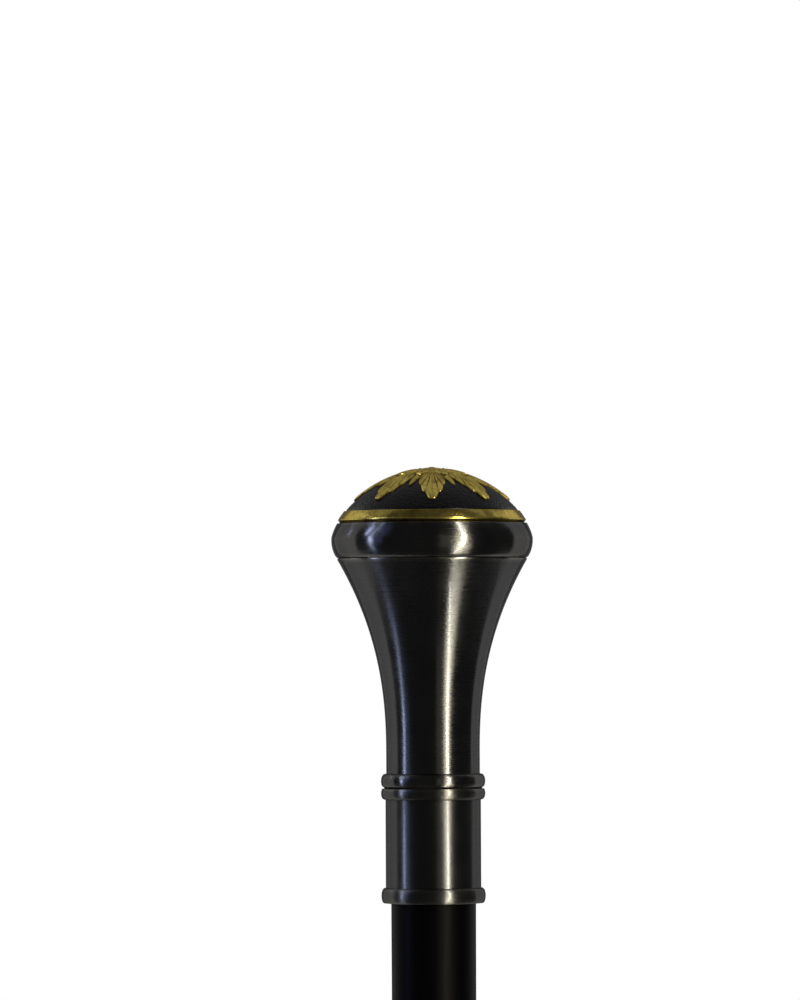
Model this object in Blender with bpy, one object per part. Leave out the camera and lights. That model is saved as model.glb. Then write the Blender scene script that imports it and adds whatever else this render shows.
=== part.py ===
"""Knob-handled walking cane: a flared metal grip with a domed medallion, a collar, a lacquered shaft,
and a ferrule with a rubber tip. The grip unscrews from a threaded stud in the shaft.

The cane stands on +Z with the middle of its rubber sole at the origin. Every size is in metres.
"""

import math

import bmesh
import bpy
from mathutils import Matrix

# How round the turned pieces are
SEGMENTS = 36
SMALL_SEGMENTS = 24
PIN_SEGMENTS = 12
MERGE_DISTANCE = 0.000001
SHARP_EDGE_DEGREES = 35.0

# Running and seating clearance between any two pieces that touch
FIT_GAP = 0.00025

# Rubber tip
SOLE_THICKNESS = 0.0060
SOLE_FLARE = 0.0027
SOLE_BAND_HEIGHT = 0.0030
SOLE_FLARE_HEIGHT = 0.0080
SOLE_FLARE_STEPS = 4
SOLE_EDGE = 0.0006
TIP_HEIGHT = 0.0340
TIP_WALL = 0.0023
TIP_LIP_HEIGHT = 0.0030
TIP_LIP_PROUD = 0.0006
SOLE_PAD_RADIUS = 0.0036
SOLE_GROOVES = 2
SOLE_GROOVE_WIDTH = 0.0016
SOLE_GROOVE_DEPTH = 0.0014

# Steel disc that stops the ferrule cutting through the rubber
DISC_THICKNESS = 0.0012

# Metal ferrule on the foot of the shaft
FERRULE_LENGTH = 0.0560
FERRULE_WALL = 0.0009
FERRULE_FLOOR = 0.0012
FERRULE_EDGE = 0.0005
FERRULE_BEAD_HEIGHT = 0.0030
FERRULE_BEAD_PROUD = 0.0009

# Brad that holds the ferrule on
BRAD_DIAMETER = 0.0015
BRAD_LENGTH = 0.0060
BRAD_HEAD_DIAMETER = 0.0026
BRAD_HEAD_HEIGHT = 0.0005
BRAD_BELOW_BEAD = 0.0050

# Shaft
SHAFT_TOP_DIAMETER = 0.0200
SHAFT_FOOT_DIAMETER = 0.0165
SHAFT_SHOWN_LENGTH = 0.7535
TENON_EDGE = 0.0006

# Stud in the top of the shaft: wood thread below, machine thread above
STUD_DIAMETER = 0.0080
STUD_PITCH = 0.00125
STUD_WOOD_DIAMETER = 0.0070
STUD_WOOD_LENGTH = 0.0340
STUD_POINT_LENGTH = 0.0050
STUD_EDGE = 0.0006
STUD_PAST_INSERT = 0.0010
STUD_WASHER_DIAMETER = 0.0160
STUD_WASHER_THICKNESS = 0.0012
STUD_NUT_ACROSS_FLATS = 0.0130
STUD_NUT_HEIGHT = 0.0040

# Collar over the top of the shaft
COLLAR_HEIGHT = 0.0271
COLLAR_WALL = 0.0010
COLLAR_END_WALL = 0.0015
COLLAR_TOP_BEAD_HEIGHT = 0.0029
COLLAR_FOOT_BEAD_HEIGHT = 0.0036
BEAD_PROUD = 0.00105
BEAD_FULLNESS = 0.75
BEAD_STEPS = 5
SEAT_CUT_DEGREES = 40.0
FOOT_CUT_DEGREES = 25.0

# Fibre washer between the collar and the grip
SEAT_WASHER_THICKNESS = 0.0010
SEAT_WASHER_MARGIN = 0.0006

# Grip
PARTING_GAP = 0.0003
GRIP_HEIGHT = 0.0539
GRIP_WALL = 0.0024
GRIP_BEAD_HEIGHT = 0.0031
GRIP_NECK_SETBACK = 0.0002
GRIP_NECK_HEIGHT = 0.0079
GRIP_FLARE_POWER = 2.28
GRIP_FLARE_STEPS = 9
GRIP_HOLLOW_STEPS = 5
GRIP_EDGE = 0.0002
NUT_HEADROOM = 0.0010
INSERT_WALL = 0.00125
INSERT_LENGTH = 0.0120
INSERT_FLANGE_WIDTH = 0.0010
INSERT_FLANGE_THICKNESS = 0.0015

# Crown of the knob
KNOB_DIAMETER = 0.0476
CROWN_HEIGHT = 0.0078
CROWN_BELLY_HEIGHT = 0.0039
CROWN_FOOT_DROP = 0.0011
CROWN_TOP_DROP = 0.00134
CROWN_FOOT_POWER = 2.0
CROWN_TOP_POWER = 1.85
CROWN_STEPS = 4
CROWN_WEB = 0.0020
CROWN_EDGE = 0.0002
SPIGOT_LEDGE = 0.0051
SPIGOT_WALL = 0.0020
SPIGOT_DEPTH = 0.0040

# Gilt rim and domed plate of the medallion
RIM_SETBACK = 0.00026
RIM_WIDTH = 0.00175
RIM_HEIGHT = 0.00285
RIM_WALL = 0.0010
RIM_TOP_LAND = 0.0002
RIM_FOOT_LAND = 0.00035
RIM_UNDERCUT_DEPTH = 0.0004
RIM_UNDERCUT_HEIGHT = 0.00035
PLATE_FLANGE_THICKNESS = 0.0007
PLATE_THICKNESS = 0.0012
PLATE_RISE = 0.00908
PLATE_PROUD = 0.0002
PLATE_STEPS = 8
PLATE_INNER_STEPS = 5

# Gilt leaf ornament on the plate: a round boss, a ring of lobed leaves, and a dart in each notch
LEAF_COUNT = 8
LEAF_MARGIN = 0.0021
LEAF_NOTCH_RADIUS = 0.0088
LEAF_ROOT_RADIUS = 0.0060
LEAF_SHARE = 0.75
LEAF_POINT = 0.62
LEAF_LOBES = 3
LEAF_LOBE_DEPTH = 0.0008
LEAF_LOBE_STEPS = 2
DART_LENGTH = 0.0052
DART_STEPS = 2
LEAF_EDGE_HEIGHT = 0.0003
LEAF_RIB_HEIGHT = 0.0006
LEAF_FLANK_HEIGHT = 0.00045
LEAF_TOP_STEPS = 3
LEAF_UNDER_STEPS = 4
BOSS_RADIUS = 0.0031
BOSS_HEIGHT_OVER_LEAVES = 0.0003
BOSS_GROOVE = 0.0006
BOSS_STEPS = 3

# Post that fixes the medallion to the crown
POST_DIAMETER = 0.0040
POST_FLANGE_DIAMETER = 0.0080
POST_FLANGE_THICKNESS = 0.0010
POST_PAST_NUT = 0.0010
POST_WASHER_DIAMETER = 0.0090
POST_WASHER_THICKNESS = 0.0008
POST_NUT_ACROSS_FLATS = 0.0070
POST_NUT_HEIGHT = 0.0032

# Radii that follow from the sizes above
FERRULE_RADIUS = SHAFT_FOOT_DIAMETER / 2
FERRULE_BORE_RADIUS = FERRULE_RADIUS - FERRULE_WALL
TENON_RADIUS = FERRULE_BORE_RADIUS - FIT_GAP
SOCKET_RADIUS = FERRULE_RADIUS + FIT_GAP
TIP_SHANK_RADIUS = SOCKET_RADIUS + TIP_WALL
SOLE_RADIUS = TIP_SHANK_RADIUS + SOLE_FLARE
STUD_RADIUS = STUD_DIAMETER / 2
STUD_HOLE_RADIUS = STUD_RADIUS + FIT_GAP
SHAFT_TOP_RADIUS = SHAFT_TOP_DIAMETER / 2
COLLAR_BORE_RADIUS = SHAFT_TOP_RADIUS + FIT_GAP
COLLAR_RADIUS = COLLAR_BORE_RADIUS + COLLAR_WALL
NECK_RADIUS = COLLAR_RADIUS - GRIP_NECK_SETBACK
GRIP_BEAD_PROUD = BEAD_PROUD + GRIP_NECK_SETBACK
STUD_NUT_CORNER_RADIUS = STUD_NUT_ACROSS_FLATS / math.sqrt(3)
NUT_RECESS_RADIUS = max(STUD_WASHER_DIAMETER / 2, STUD_NUT_CORNER_RADIUS) + FIT_GAP
SEAT_WASHER_RADIUS = NECK_RADIUS - SEAT_WASHER_MARGIN
SEAT_WASHER_BORE_RADIUS = NUT_RECESS_RADIUS + FIT_GAP
INSERT_RADIUS = STUD_HOLE_RADIUS + INSERT_WALL
INSERT_SEAT_RADIUS = INSERT_RADIUS + FIT_GAP
KNOB_RADIUS = KNOB_DIAMETER / 2
MOUTH_RADIUS = KNOB_RADIUS - CROWN_FOOT_DROP
CROWN_TOP_RADIUS = KNOB_RADIUS - CROWN_TOP_DROP
SPIGOT_SEAT_RADIUS = MOUTH_RADIUS - SPIGOT_LEDGE
SPIGOT_RADIUS = SPIGOT_SEAT_RADIUS - FIT_GAP
SPIGOT_BORE_RADIUS = SPIGOT_RADIUS - SPIGOT_WALL
RIM_RADIUS = CROWN_TOP_RADIUS - RIM_SETBACK
RIM_BORE_RADIUS = RIM_RADIUS - RIM_WIDTH
PLATE_RADIUS = RIM_BORE_RADIUS - FIT_GAP
FLANGE_SEAT_RADIUS = RIM_RADIUS - RIM_WALL
FLANGE_RADIUS = FLANGE_SEAT_RADIUS - FIT_GAP
PLATE_SPHERE_RADIUS = (PLATE_RADIUS**2 + PLATE_RISE**2) / (2 * PLATE_RISE)
POST_RADIUS = POST_DIAMETER / 2
POST_HOLE_RADIUS = POST_RADIUS + FIT_GAP
BRAD_HOLE_RADIUS = BRAD_DIAMETER / 2 + FIT_GAP

# Heights along the cane, each worked out from the piece that carries the next one
DISC_Z = SOLE_THICKNESS + FIT_GAP
FERRULE_Z = DISC_Z + DISC_THICKNESS + FIT_GAP
FERRULE_TOP_Z = FERRULE_Z + FERRULE_LENGTH
TENON_Z = FERRULE_Z + FERRULE_FLOOR + FIT_GAP
SHOULDER_Z = FERRULE_TOP_Z + FIT_GAP
BRAD_Z = FERRULE_TOP_Z - FERRULE_BEAD_HEIGHT - BRAD_BELOW_BEAD
COLLAR_Z = SHOULDER_Z + SHAFT_SHOWN_LENGTH
COLLAR_TOP_Z = COLLAR_Z + COLLAR_HEIGHT
SHAFT_TOP_Z = COLLAR_TOP_Z - COLLAR_END_WALL - FIT_GAP
STUD_Z = SHAFT_TOP_Z - STUD_WOOD_LENGTH
STUD_SHOULDER_Z = SHAFT_TOP_Z + FIT_GAP
STUD_WASHER_Z = COLLAR_TOP_Z + FIT_GAP
STUD_NUT_Z = STUD_WASHER_Z + STUD_WASHER_THICKNESS + FIT_GAP
SEAT_WASHER_Z = COLLAR_TOP_Z + FIT_GAP
GRIP_Z = COLLAR_TOP_Z + PARTING_GAP
SEAT_RECESS_DEPTH = SEAT_WASHER_Z + SEAT_WASHER_THICKNESS + FIT_GAP - GRIP_Z
NUT_RECESS_DEPTH = STUD_NUT_Z + STUD_NUT_HEIGHT + NUT_HEADROOM - GRIP_Z
BOSS_HEIGHT = NUT_RECESS_DEPTH + INSERT_LENGTH
INSERT_Z = GRIP_Z + NUT_RECESS_DEPTH + FIT_GAP
STUD_TOP_Z = INSERT_Z + INSERT_LENGTH + INSERT_FLANGE_THICKNESS + STUD_PAST_INSERT
CROWN_Z = GRIP_Z + GRIP_HEIGHT + FIT_GAP
CROWN_TOP_Z = CROWN_Z + CROWN_HEIGHT
WEB_UNDERSIDE_Z = CROWN_TOP_Z - CROWN_WEB
MEDALLION_Z = CROWN_TOP_Z + FIT_GAP
PLATE_EDGE_HEIGHT = RIM_HEIGHT + PLATE_PROUD
PLATE_CENTRE_HEIGHT = PLATE_EDGE_HEIGHT + PLATE_RISE - PLATE_SPHERE_RADIUS
POST_WASHER_Z = WEB_UNDERSIDE_Z - FIT_GAP - POST_WASHER_THICKNESS
POST_NUT_Z = POST_WASHER_Z - FIT_GAP - POST_NUT_HEIGHT
POST_Z = POST_NUT_Z - POST_PAST_NUT


def clear_scene():
    for obj in list(bpy.data.objects):
        bpy.data.objects.remove(obj)


def finish(name, colour, metallic, roughness):
    """A Principled material of one colour, with its metallic value and roughness."""
    material = bpy.data.materials.new(name)
    material.use_nodes = True
    shader = material.node_tree.nodes["Principled BSDF"]
    shader.inputs["Base Color"].default_value = (*colour, 1.0)
    shader.inputs["Metallic"].default_value = metallic
    shader.inputs["Roughness"].default_value = roughness
    material.diffuse_color = (*colour, 1.0)
    return material


def empty(name, z, parent=None):
    """A carrier on the cane's axis, at height z."""
    carrier = bpy.data.objects.new(name, None)
    bpy.context.scene.collection.objects.link(carrier)
    carrier.location.z = z if parent is None else z - parent.location.z
    carrier.parent = parent
    return carrier


def stands_at(carrier):
    """The height of a carrier above the sole, through the carriers below it."""
    height = 0.0
    while carrier is not None:
        height += carrier.location.z
        carrier = carrier.parent
    return height


def place(name, bm, z, material, carrier):
    """Makes one named object of a bmesh, with smooth faces, and stands it at height z on its carrier."""
    bmesh.ops.recalc_face_normals(bm, faces=bm.faces)
    mesh = bpy.data.meshes.new(name)
    bm.to_mesh(mesh)
    bm.free()
    mesh.shade_smooth()
    mesh.set_sharp_from_angle(angle=math.radians(SHARP_EDGE_DEGREES))
    if material is not None:
        mesh.materials.append(material)
    obj = bpy.data.objects.new(name, mesh)
    bpy.context.scene.collection.objects.link(obj)
    obj.parent = carrier
    obj.location.z = z - stands_at(carrier)
    return obj


def spun(profile, segments):
    """A bmesh turned about Z from (radius, height) points that close on themselves or on the axis."""
    bm = bmesh.new()
    verts = [bm.verts.new((radius, 0.0, height)) for radius, height in profile]
    edges = [bm.edges.new(pair) for pair in zip(verts, verts[1:])]
    if profile[0][0] > 0:
        edges.append(bm.edges.new((verts[-1], verts[0])))
    bmesh.ops.spin(
        bm,
        geom=verts + edges,
        axis=(0, 0, 1),
        cent=(0, 0, 0),
        angle=2 * math.pi,
        steps=segments,
        use_merge=True,
    )
    bmesh.ops.remove_doubles(bm, verts=bm.verts, dist=MERGE_DISTANCE)
    return bm


def turned(name, profile, z, material, carrier, segments=SEGMENTS):
    """A lathe-turned piece whose local zero stands at height z."""
    return place(name, spun(profile, segments), z, material, carrier)


def washer_profile(bore, radius, thickness):
    return [(bore, 0.0), (radius, 0.0), (radius, thickness), (bore, thickness)]


def bead(radius, proud, low, high, cut_low=0.0, cut_high=0.0):
    """A half-round bead on a tube, from its lower edge to its upper one. A cut, in degrees of the half
    round, leaves that edge of the bead as a crisp flat seat."""
    start = math.radians(cut_low)
    end = math.pi - math.radians(cut_high)
    points = []
    for k in range(BEAD_STEPS + 1):
        angle = start + (end - start) * k / BEAD_STEPS
        share = (math.cos(start) - math.cos(angle)) / (math.cos(start) - math.cos(end))
        swell = max(math.sin(angle), 0.0) ** BEAD_FULLNESS
        points.append((radius + proud * swell, low + (high - low) * share))
    return points


def cylinder_cutter(name, radius, length, segments):
    """A hidden cylinder about its own Z, which other pieces are cut with."""
    bm = bmesh.new()
    bmesh.ops.create_cone(
        bm, cap_ends=True, segments=segments, radius1=radius, radius2=radius, depth=length
    )
    cutter = place(name, bm, 0.0, None, None)
    cutter.hide_render = True
    cutter.display_type = "WIRE"
    return cutter


def cut(obj, cutter):
    modifier = obj.modifiers.new("cut " + cutter.name, "BOOLEAN")
    modifier.operation = "DIFFERENCE"
    modifier.object = cutter


def hex_nut(name, across_flats, height, bore_radius, z, material, carrier):
    """A plain hexagon nut with a round bore, standing at height z."""
    bm = bmesh.new()
    corner = across_flats / math.sqrt(3)
    bmesh.ops.create_cone(bm, cap_ends=True, segments=6, radius1=corner, radius2=corner, depth=height)
    bmesh.ops.translate(bm, verts=bm.verts, vec=(0, 0, height / 2))
    nut = place(name, bm, z, material, carrier)
    bore = cylinder_cutter(name + "_bore", bore_radius, 3 * height, SMALL_SEGMENTS)
    bore.location.z = z
    cut(nut, bore)
    return nut


def sole_points():
    """The underside of the rubber tip: a pad in the middle, then grooves between ring-shaped lands."""
    points = [(0.0, 0.0)]
    pitch = (SOLE_RADIUS - SOLE_EDGE - SOLE_PAD_RADIUS) / SOLE_GROOVES
    for k in range(SOLE_GROOVES):
        inner = SOLE_PAD_RADIUS + k * pitch
        outer = inner + SOLE_GROOVE_WIDTH
        points += [
            (inner, 0.0),
            (inner, SOLE_GROOVE_DEPTH),
            (outer, SOLE_GROOVE_DEPTH),
            (outer, 0.0),
        ]
    return points + [(SOLE_RADIUS - SOLE_EDGE, 0.0), (SOLE_RADIUS, SOLE_EDGE)]


def rubber_tip(material, carrier):
    """Flared rubber boot with a rolled lip, closed below and open above."""
    flare = []
    for k in range(SOLE_FLARE_STEPS + 1):
        swell = (1 + math.cos(math.pi * k / SOLE_FLARE_STEPS)) / 2
        height = SOLE_BAND_HEIGHT + SOLE_FLARE_HEIGHT * k / SOLE_FLARE_STEPS
        flare.append((TIP_SHANK_RADIUS + SOLE_FLARE * swell, height))
    lip_foot = TIP_HEIGHT - TIP_LIP_HEIGHT
    lip = bead(TIP_SHANK_RADIUS, TIP_LIP_PROUD, lip_foot, TIP_HEIGHT, cut_high=SEAT_CUT_DEGREES)
    socket = [(SOCKET_RADIUS, TIP_HEIGHT), (SOCKET_RADIUS, SOLE_THICKNESS), (0.0, SOLE_THICKNESS)]
    return turned("rubber_tip", sole_points() + flare + lip + socket, 0.0, material, carrier)


def sole_disc(material, carrier):
    profile = [
        (0.0, 0.0),
        (FERRULE_RADIUS, 0.0),
        (FERRULE_RADIUS, DISC_THICKNESS),
        (0.0, DISC_THICKNESS),
    ]
    return turned("sole_disc", profile, DISC_Z, material, carrier, SMALL_SEGMENTS)


def ferrule(material, carrier):
    """Closed metal cup on the tenon of the shaft, with a bead round its mouth."""
    bead_foot = FERRULE_LENGTH - FERRULE_BEAD_HEIGHT
    ring = bead(FERRULE_RADIUS, FERRULE_BEAD_PROUD, bead_foot, FERRULE_LENGTH, cut_high=FOOT_CUT_DEGREES)
    profile = [(0.0, 0.0), (FERRULE_RADIUS - FERRULE_EDGE, 0.0), (FERRULE_RADIUS, FERRULE_EDGE)]
    profile += ring
    profile += [
        (FERRULE_BORE_RADIUS, FERRULE_LENGTH),
        (FERRULE_BORE_RADIUS, FERRULE_FLOOR),
        (0.0, FERRULE_FLOOR),
    ]
    return turned("ferrule", profile, FERRULE_Z, material, carrier)


def shaft(material, carrier):
    """The lacquered wood, with a tenon for the ferrule and a pilot bore for the stud."""
    bore_radius = STUD_WOOD_DIAMETER / 2 + FIT_GAP
    top = SHAFT_TOP_Z - TENON_Z
    profile = [
        (0.0, 0.0),
        (TENON_RADIUS - TENON_EDGE, 0.0),
        (TENON_RADIUS, TENON_EDGE),
        (TENON_RADIUS, SHOULDER_Z - TENON_Z),
        (SHAFT_FOOT_DIAMETER / 2, SHOULDER_Z - TENON_Z),
        (SHAFT_TOP_RADIUS, COLLAR_Z - TENON_Z),
        (SHAFT_TOP_RADIUS, top),
        (bore_radius, top),
        (bore_radius, top - STUD_WOOD_LENGTH - FIT_GAP),
        (0.0, top - STUD_WOOD_LENGTH - FIT_GAP),
    ]
    return turned("shaft", profile, TENON_Z, material, carrier)


def ferrule_brad(material, carrier):
    """A small nail driven in from the back of the ferrule, and the cutter of its hole."""
    radius = BRAD_DIAMETER / 2
    head = BRAD_HEAD_DIAMETER / 2
    profile = [
        (0.0, 0.0),
        (radius, radius),
        (radius, BRAD_LENGTH),
        (head, BRAD_LENGTH),
        (head, BRAD_LENGTH + BRAD_HEAD_HEIGHT / 2),
        (head / 2, BRAD_LENGTH + BRAD_HEAD_HEIGHT),
        (0.0, BRAD_LENGTH + BRAD_HEAD_HEIGHT),
    ]
    brad = turned("ferrule_brad", profile, BRAD_Z, material, carrier, PIN_SEGMENTS)
    head_seat = FERRULE_RADIUS + FIT_GAP
    brad.rotation_euler.x = -math.pi / 2
    brad.location.y = head_seat - BRAD_LENGTH
    hole = cylinder_cutter("brad_hole", BRAD_HOLE_RADIUS, BRAD_LENGTH + 2 * FIT_GAP, PIN_SEGMENTS)
    hole.matrix_world = Matrix.Translation((0, head_seat - BRAD_LENGTH / 2, BRAD_Z)) @ Matrix.Rotation(
        math.pi / 2, 4, "X"
    )
    return brad, hole


def stud(material, carrier):
    """Hanger bolt: a pointed wood screw below its shoulder and a machine thread above."""
    wood_radius = STUD_WOOD_DIAMETER / 2
    shoulder = STUD_SHOULDER_Z - STUD_Z
    top = STUD_TOP_Z - STUD_Z
    profile = [
        (0.0, 0.0),
        (wood_radius, STUD_POINT_LENGTH),
        (wood_radius, shoulder),
        (STUD_RADIUS, shoulder),
        (STUD_RADIUS, top - STUD_EDGE),
        (STUD_RADIUS - STUD_EDGE, top),
        (0.0, top),
    ]
    return turned("stud", profile, STUD_Z, material, carrier, SMALL_SEGMENTS)


def collar(material, carrier):
    """An inverted cup over the end of the shaft, with a bead round each end."""
    foot_bead = bead(COLLAR_RADIUS, BEAD_PROUD, 0.0, COLLAR_FOOT_BEAD_HEIGHT, cut_low=FOOT_CUT_DEGREES)
    top_bead_foot = COLLAR_HEIGHT - COLLAR_TOP_BEAD_HEIGHT
    top_bead = bead(COLLAR_RADIUS, BEAD_PROUD, top_bead_foot, COLLAR_HEIGHT, cut_high=SEAT_CUT_DEGREES)
    profile = foot_bead + top_bead
    profile += [
        (STUD_HOLE_RADIUS, COLLAR_HEIGHT),
        (STUD_HOLE_RADIUS, COLLAR_HEIGHT - COLLAR_END_WALL),
        (COLLAR_BORE_RADIUS, COLLAR_HEIGHT - COLLAR_END_WALL),
        (COLLAR_BORE_RADIUS, 0.0),
    ]
    return turned("collar", profile, COLLAR_Z, material, carrier)


def grip_radius(height):
    """Outer radius of the grip: a straight neck that flares to the mouth as a power curve."""
    run = max(height - GRIP_NECK_HEIGHT, 0.0) / (GRIP_HEIGHT - GRIP_NECK_HEIGHT)
    return NECK_RADIUS + (MOUTH_RADIUS - NECK_RADIUS) * run**GRIP_FLARE_POWER


def grip(material, carrier):
    """Hollow flared casting, with a boss for the threaded insert and a seat in the mouth for the crown."""
    outside = bead(NECK_RADIUS, GRIP_BEAD_PROUD, 0.0, GRIP_BEAD_HEIGHT, cut_low=SEAT_CUT_DEGREES)
    for k in range(GRIP_FLARE_STEPS):
        height = GRIP_NECK_HEIGHT + (GRIP_HEIGHT - GRIP_NECK_HEIGHT) * k / GRIP_FLARE_STEPS
        outside.append((grip_radius(height), height))
    outside += [
        (grip_radius(GRIP_HEIGHT - GRIP_EDGE), GRIP_HEIGHT - GRIP_EDGE),
        (MOUTH_RADIUS - GRIP_EDGE, GRIP_HEIGHT),
    ]
    seat_height = GRIP_HEIGHT - SPIGOT_DEPTH - FIT_GAP
    mouth = [(SPIGOT_SEAT_RADIUS, GRIP_HEIGHT), (SPIGOT_SEAT_RADIUS, seat_height)]
    hollow = []
    for k in range(GRIP_HOLLOW_STEPS + 1):
        height = seat_height + (BOSS_HEIGHT - seat_height) * k / GRIP_HOLLOW_STEPS
        hollow.append((min(grip_radius(height), SPIGOT_SEAT_RADIUS) - GRIP_WALL, height))
    base = [
        (INSERT_SEAT_RADIUS, BOSS_HEIGHT),
        (INSERT_SEAT_RADIUS, NUT_RECESS_DEPTH),
        (NUT_RECESS_RADIUS, NUT_RECESS_DEPTH),
        (NUT_RECESS_RADIUS, SEAT_RECESS_DEPTH),
        (SEAT_WASHER_RADIUS + FIT_GAP, SEAT_RECESS_DEPTH),
        (SEAT_WASHER_RADIUS + FIT_GAP, 0.0),
    ]
    return turned("grip", outside + mouth + hollow + base, GRIP_Z, material, carrier)


def thread_insert(material, carrier):
    """Brass bush in the boss of the grip. Its flange is inside, so pulling on the grip seats it."""
    flange_radius = INSERT_RADIUS + INSERT_FLANGE_WIDTH
    profile = [
        (STUD_HOLE_RADIUS, 0.0),
        (INSERT_RADIUS, 0.0),
        (INSERT_RADIUS, INSERT_LENGTH),
        (flange_radius, INSERT_LENGTH),
        (flange_radius, INSERT_LENGTH + INSERT_FLANGE_THICKNESS),
        (STUD_HOLE_RADIUS, INSERT_LENGTH + INSERT_FLANGE_THICKNESS),
    ]
    return turned("thread_insert", profile, INSERT_Z, material, carrier, SMALL_SEGMENTS)


def crown(material, carrier):
    """The bulged band of the knob: a cup with its web on top, and a spigot in the mouth of the grip."""
    belly = []
    for k in range(CROWN_STEPS + 1):
        share = 1 - k / CROWN_STEPS
        drop = CROWN_FOOT_DROP * share**CROWN_FOOT_POWER
        height = CROWN_EDGE + (CROWN_BELLY_HEIGHT - CROWN_EDGE) * (1 - share)
        belly.append((KNOB_RADIUS - drop, height))
    for k in range(1, CROWN_STEPS + 1):
        share = k / CROWN_STEPS
        drop = CROWN_TOP_DROP * share**CROWN_TOP_POWER
        height = CROWN_BELLY_HEIGHT + (CROWN_HEIGHT - CROWN_BELLY_HEIGHT) * share
        belly.append((KNOB_RADIUS - drop, height))
    profile = [
        (SPIGOT_BORE_RADIUS, -SPIGOT_DEPTH),
        (SPIGOT_RADIUS, -SPIGOT_DEPTH),
        (SPIGOT_RADIUS, 0.0),
        (MOUTH_RADIUS - CROWN_EDGE, 0.0),
    ]
    profile += belly
    profile += [
        (POST_HOLE_RADIUS, CROWN_HEIGHT),
        (POST_HOLE_RADIUS, CROWN_HEIGHT - CROWN_WEB),
        (SPIGOT_BORE_RADIUS, CROWN_HEIGHT - CROWN_WEB),
    ]
    return turned("crown", profile, CROWN_Z, material, carrier)


def medallion_rim(material, carrier):
    """Gilt ring, undercut at its foot, whose lip traps the flange of the plate on the crown."""
    lip_height = PLATE_FLANGE_THICKNESS + FIT_GAP
    foot_radius = RIM_RADIUS - RIM_UNDERCUT_DEPTH
    profile = [
        (FLANGE_SEAT_RADIUS, 0.0),
        (foot_radius, 0.0),
        (foot_radius, RIM_UNDERCUT_HEIGHT),
        (RIM_RADIUS, RIM_UNDERCUT_HEIGHT),
        (RIM_RADIUS, RIM_UNDERCUT_HEIGHT + RIM_FOOT_LAND),
        (RIM_BORE_RADIUS + RIM_TOP_LAND, RIM_HEIGHT),
        (RIM_BORE_RADIUS, RIM_HEIGHT),
        (RIM_BORE_RADIUS, lip_height),
        (FLANGE_SEAT_RADIUS, lip_height),
    ]
    return turned("medallion_rim", profile, MEDALLION_Z, material, carrier)


def cap_points(sphere_radius, edge_radius, steps):
    """Points down a spherical cap about the plate's centre, from the axis to the edge radius."""
    reach = math.asin(edge_radius / sphere_radius)
    points = []
    for k in range(steps + 1):
        angle = reach * k / steps
        height = PLATE_CENTRE_HEIGHT + sphere_radius * math.cos(angle)
        points.append((sphere_radius * math.sin(angle), height))
    return points


def medallion_plate(material, carrier):
    """Domed shell with a short skirt and an outward flange."""
    skirt_radius = PLATE_RADIUS - PLATE_THICKNESS
    outside = cap_points(PLATE_SPHERE_RADIUS, PLATE_RADIUS, PLATE_STEPS)
    inside = cap_points(PLATE_SPHERE_RADIUS - PLATE_THICKNESS, skirt_radius, PLATE_INNER_STEPS)
    flange = [
        (PLATE_RADIUS, PLATE_FLANGE_THICKNESS),
        (FLANGE_RADIUS, PLATE_FLANGE_THICKNESS),
        (FLANGE_RADIUS, 0.0),
        (skirt_radius, 0.0),
    ]
    return turned("medallion_plate", outside + flange + inside[::-1], MEDALLION_Z, material, carrier)


def leaf_spokes():
    """Angle, reach and nearness to a midrib of every spoke of the leaf ornament. A leaf narrows to its
    point as a power curve with scallops along it, and the dart in the notch has a plain edge."""
    flank = LEAF_LOBES * LEAF_LOBE_STEPS
    half = flank + DART_STEPS
    spokes = []
    for leaf in range(LEAF_COUNT):
        for step in range(1 - half, half + 1):
            if abs(step) <= flank:
                run = abs(step) / flank
                turn = LEAF_SHARE * run
                length = PLATE_RADIUS - LEAF_MARGIN - LEAF_NOTCH_RADIUS
                scallop = LEAF_LOBE_DEPTH * abs(math.sin(LEAF_LOBES * math.pi * run))
            else:
                run = (half - abs(step)) / DART_STEPS
                turn = 1 - (1 - LEAF_SHARE) * run
                length = DART_LENGTH
                scallop = 0.0
            angle = math.pi / LEAF_COUNT * (2 * leaf + math.copysign(turn, step))
            reach = LEAF_NOTCH_RADIUS + length * (1 - run) ** LEAF_POINT + scallop
            spokes.append((angle, reach, 1 - turn))
    return spokes


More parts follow.
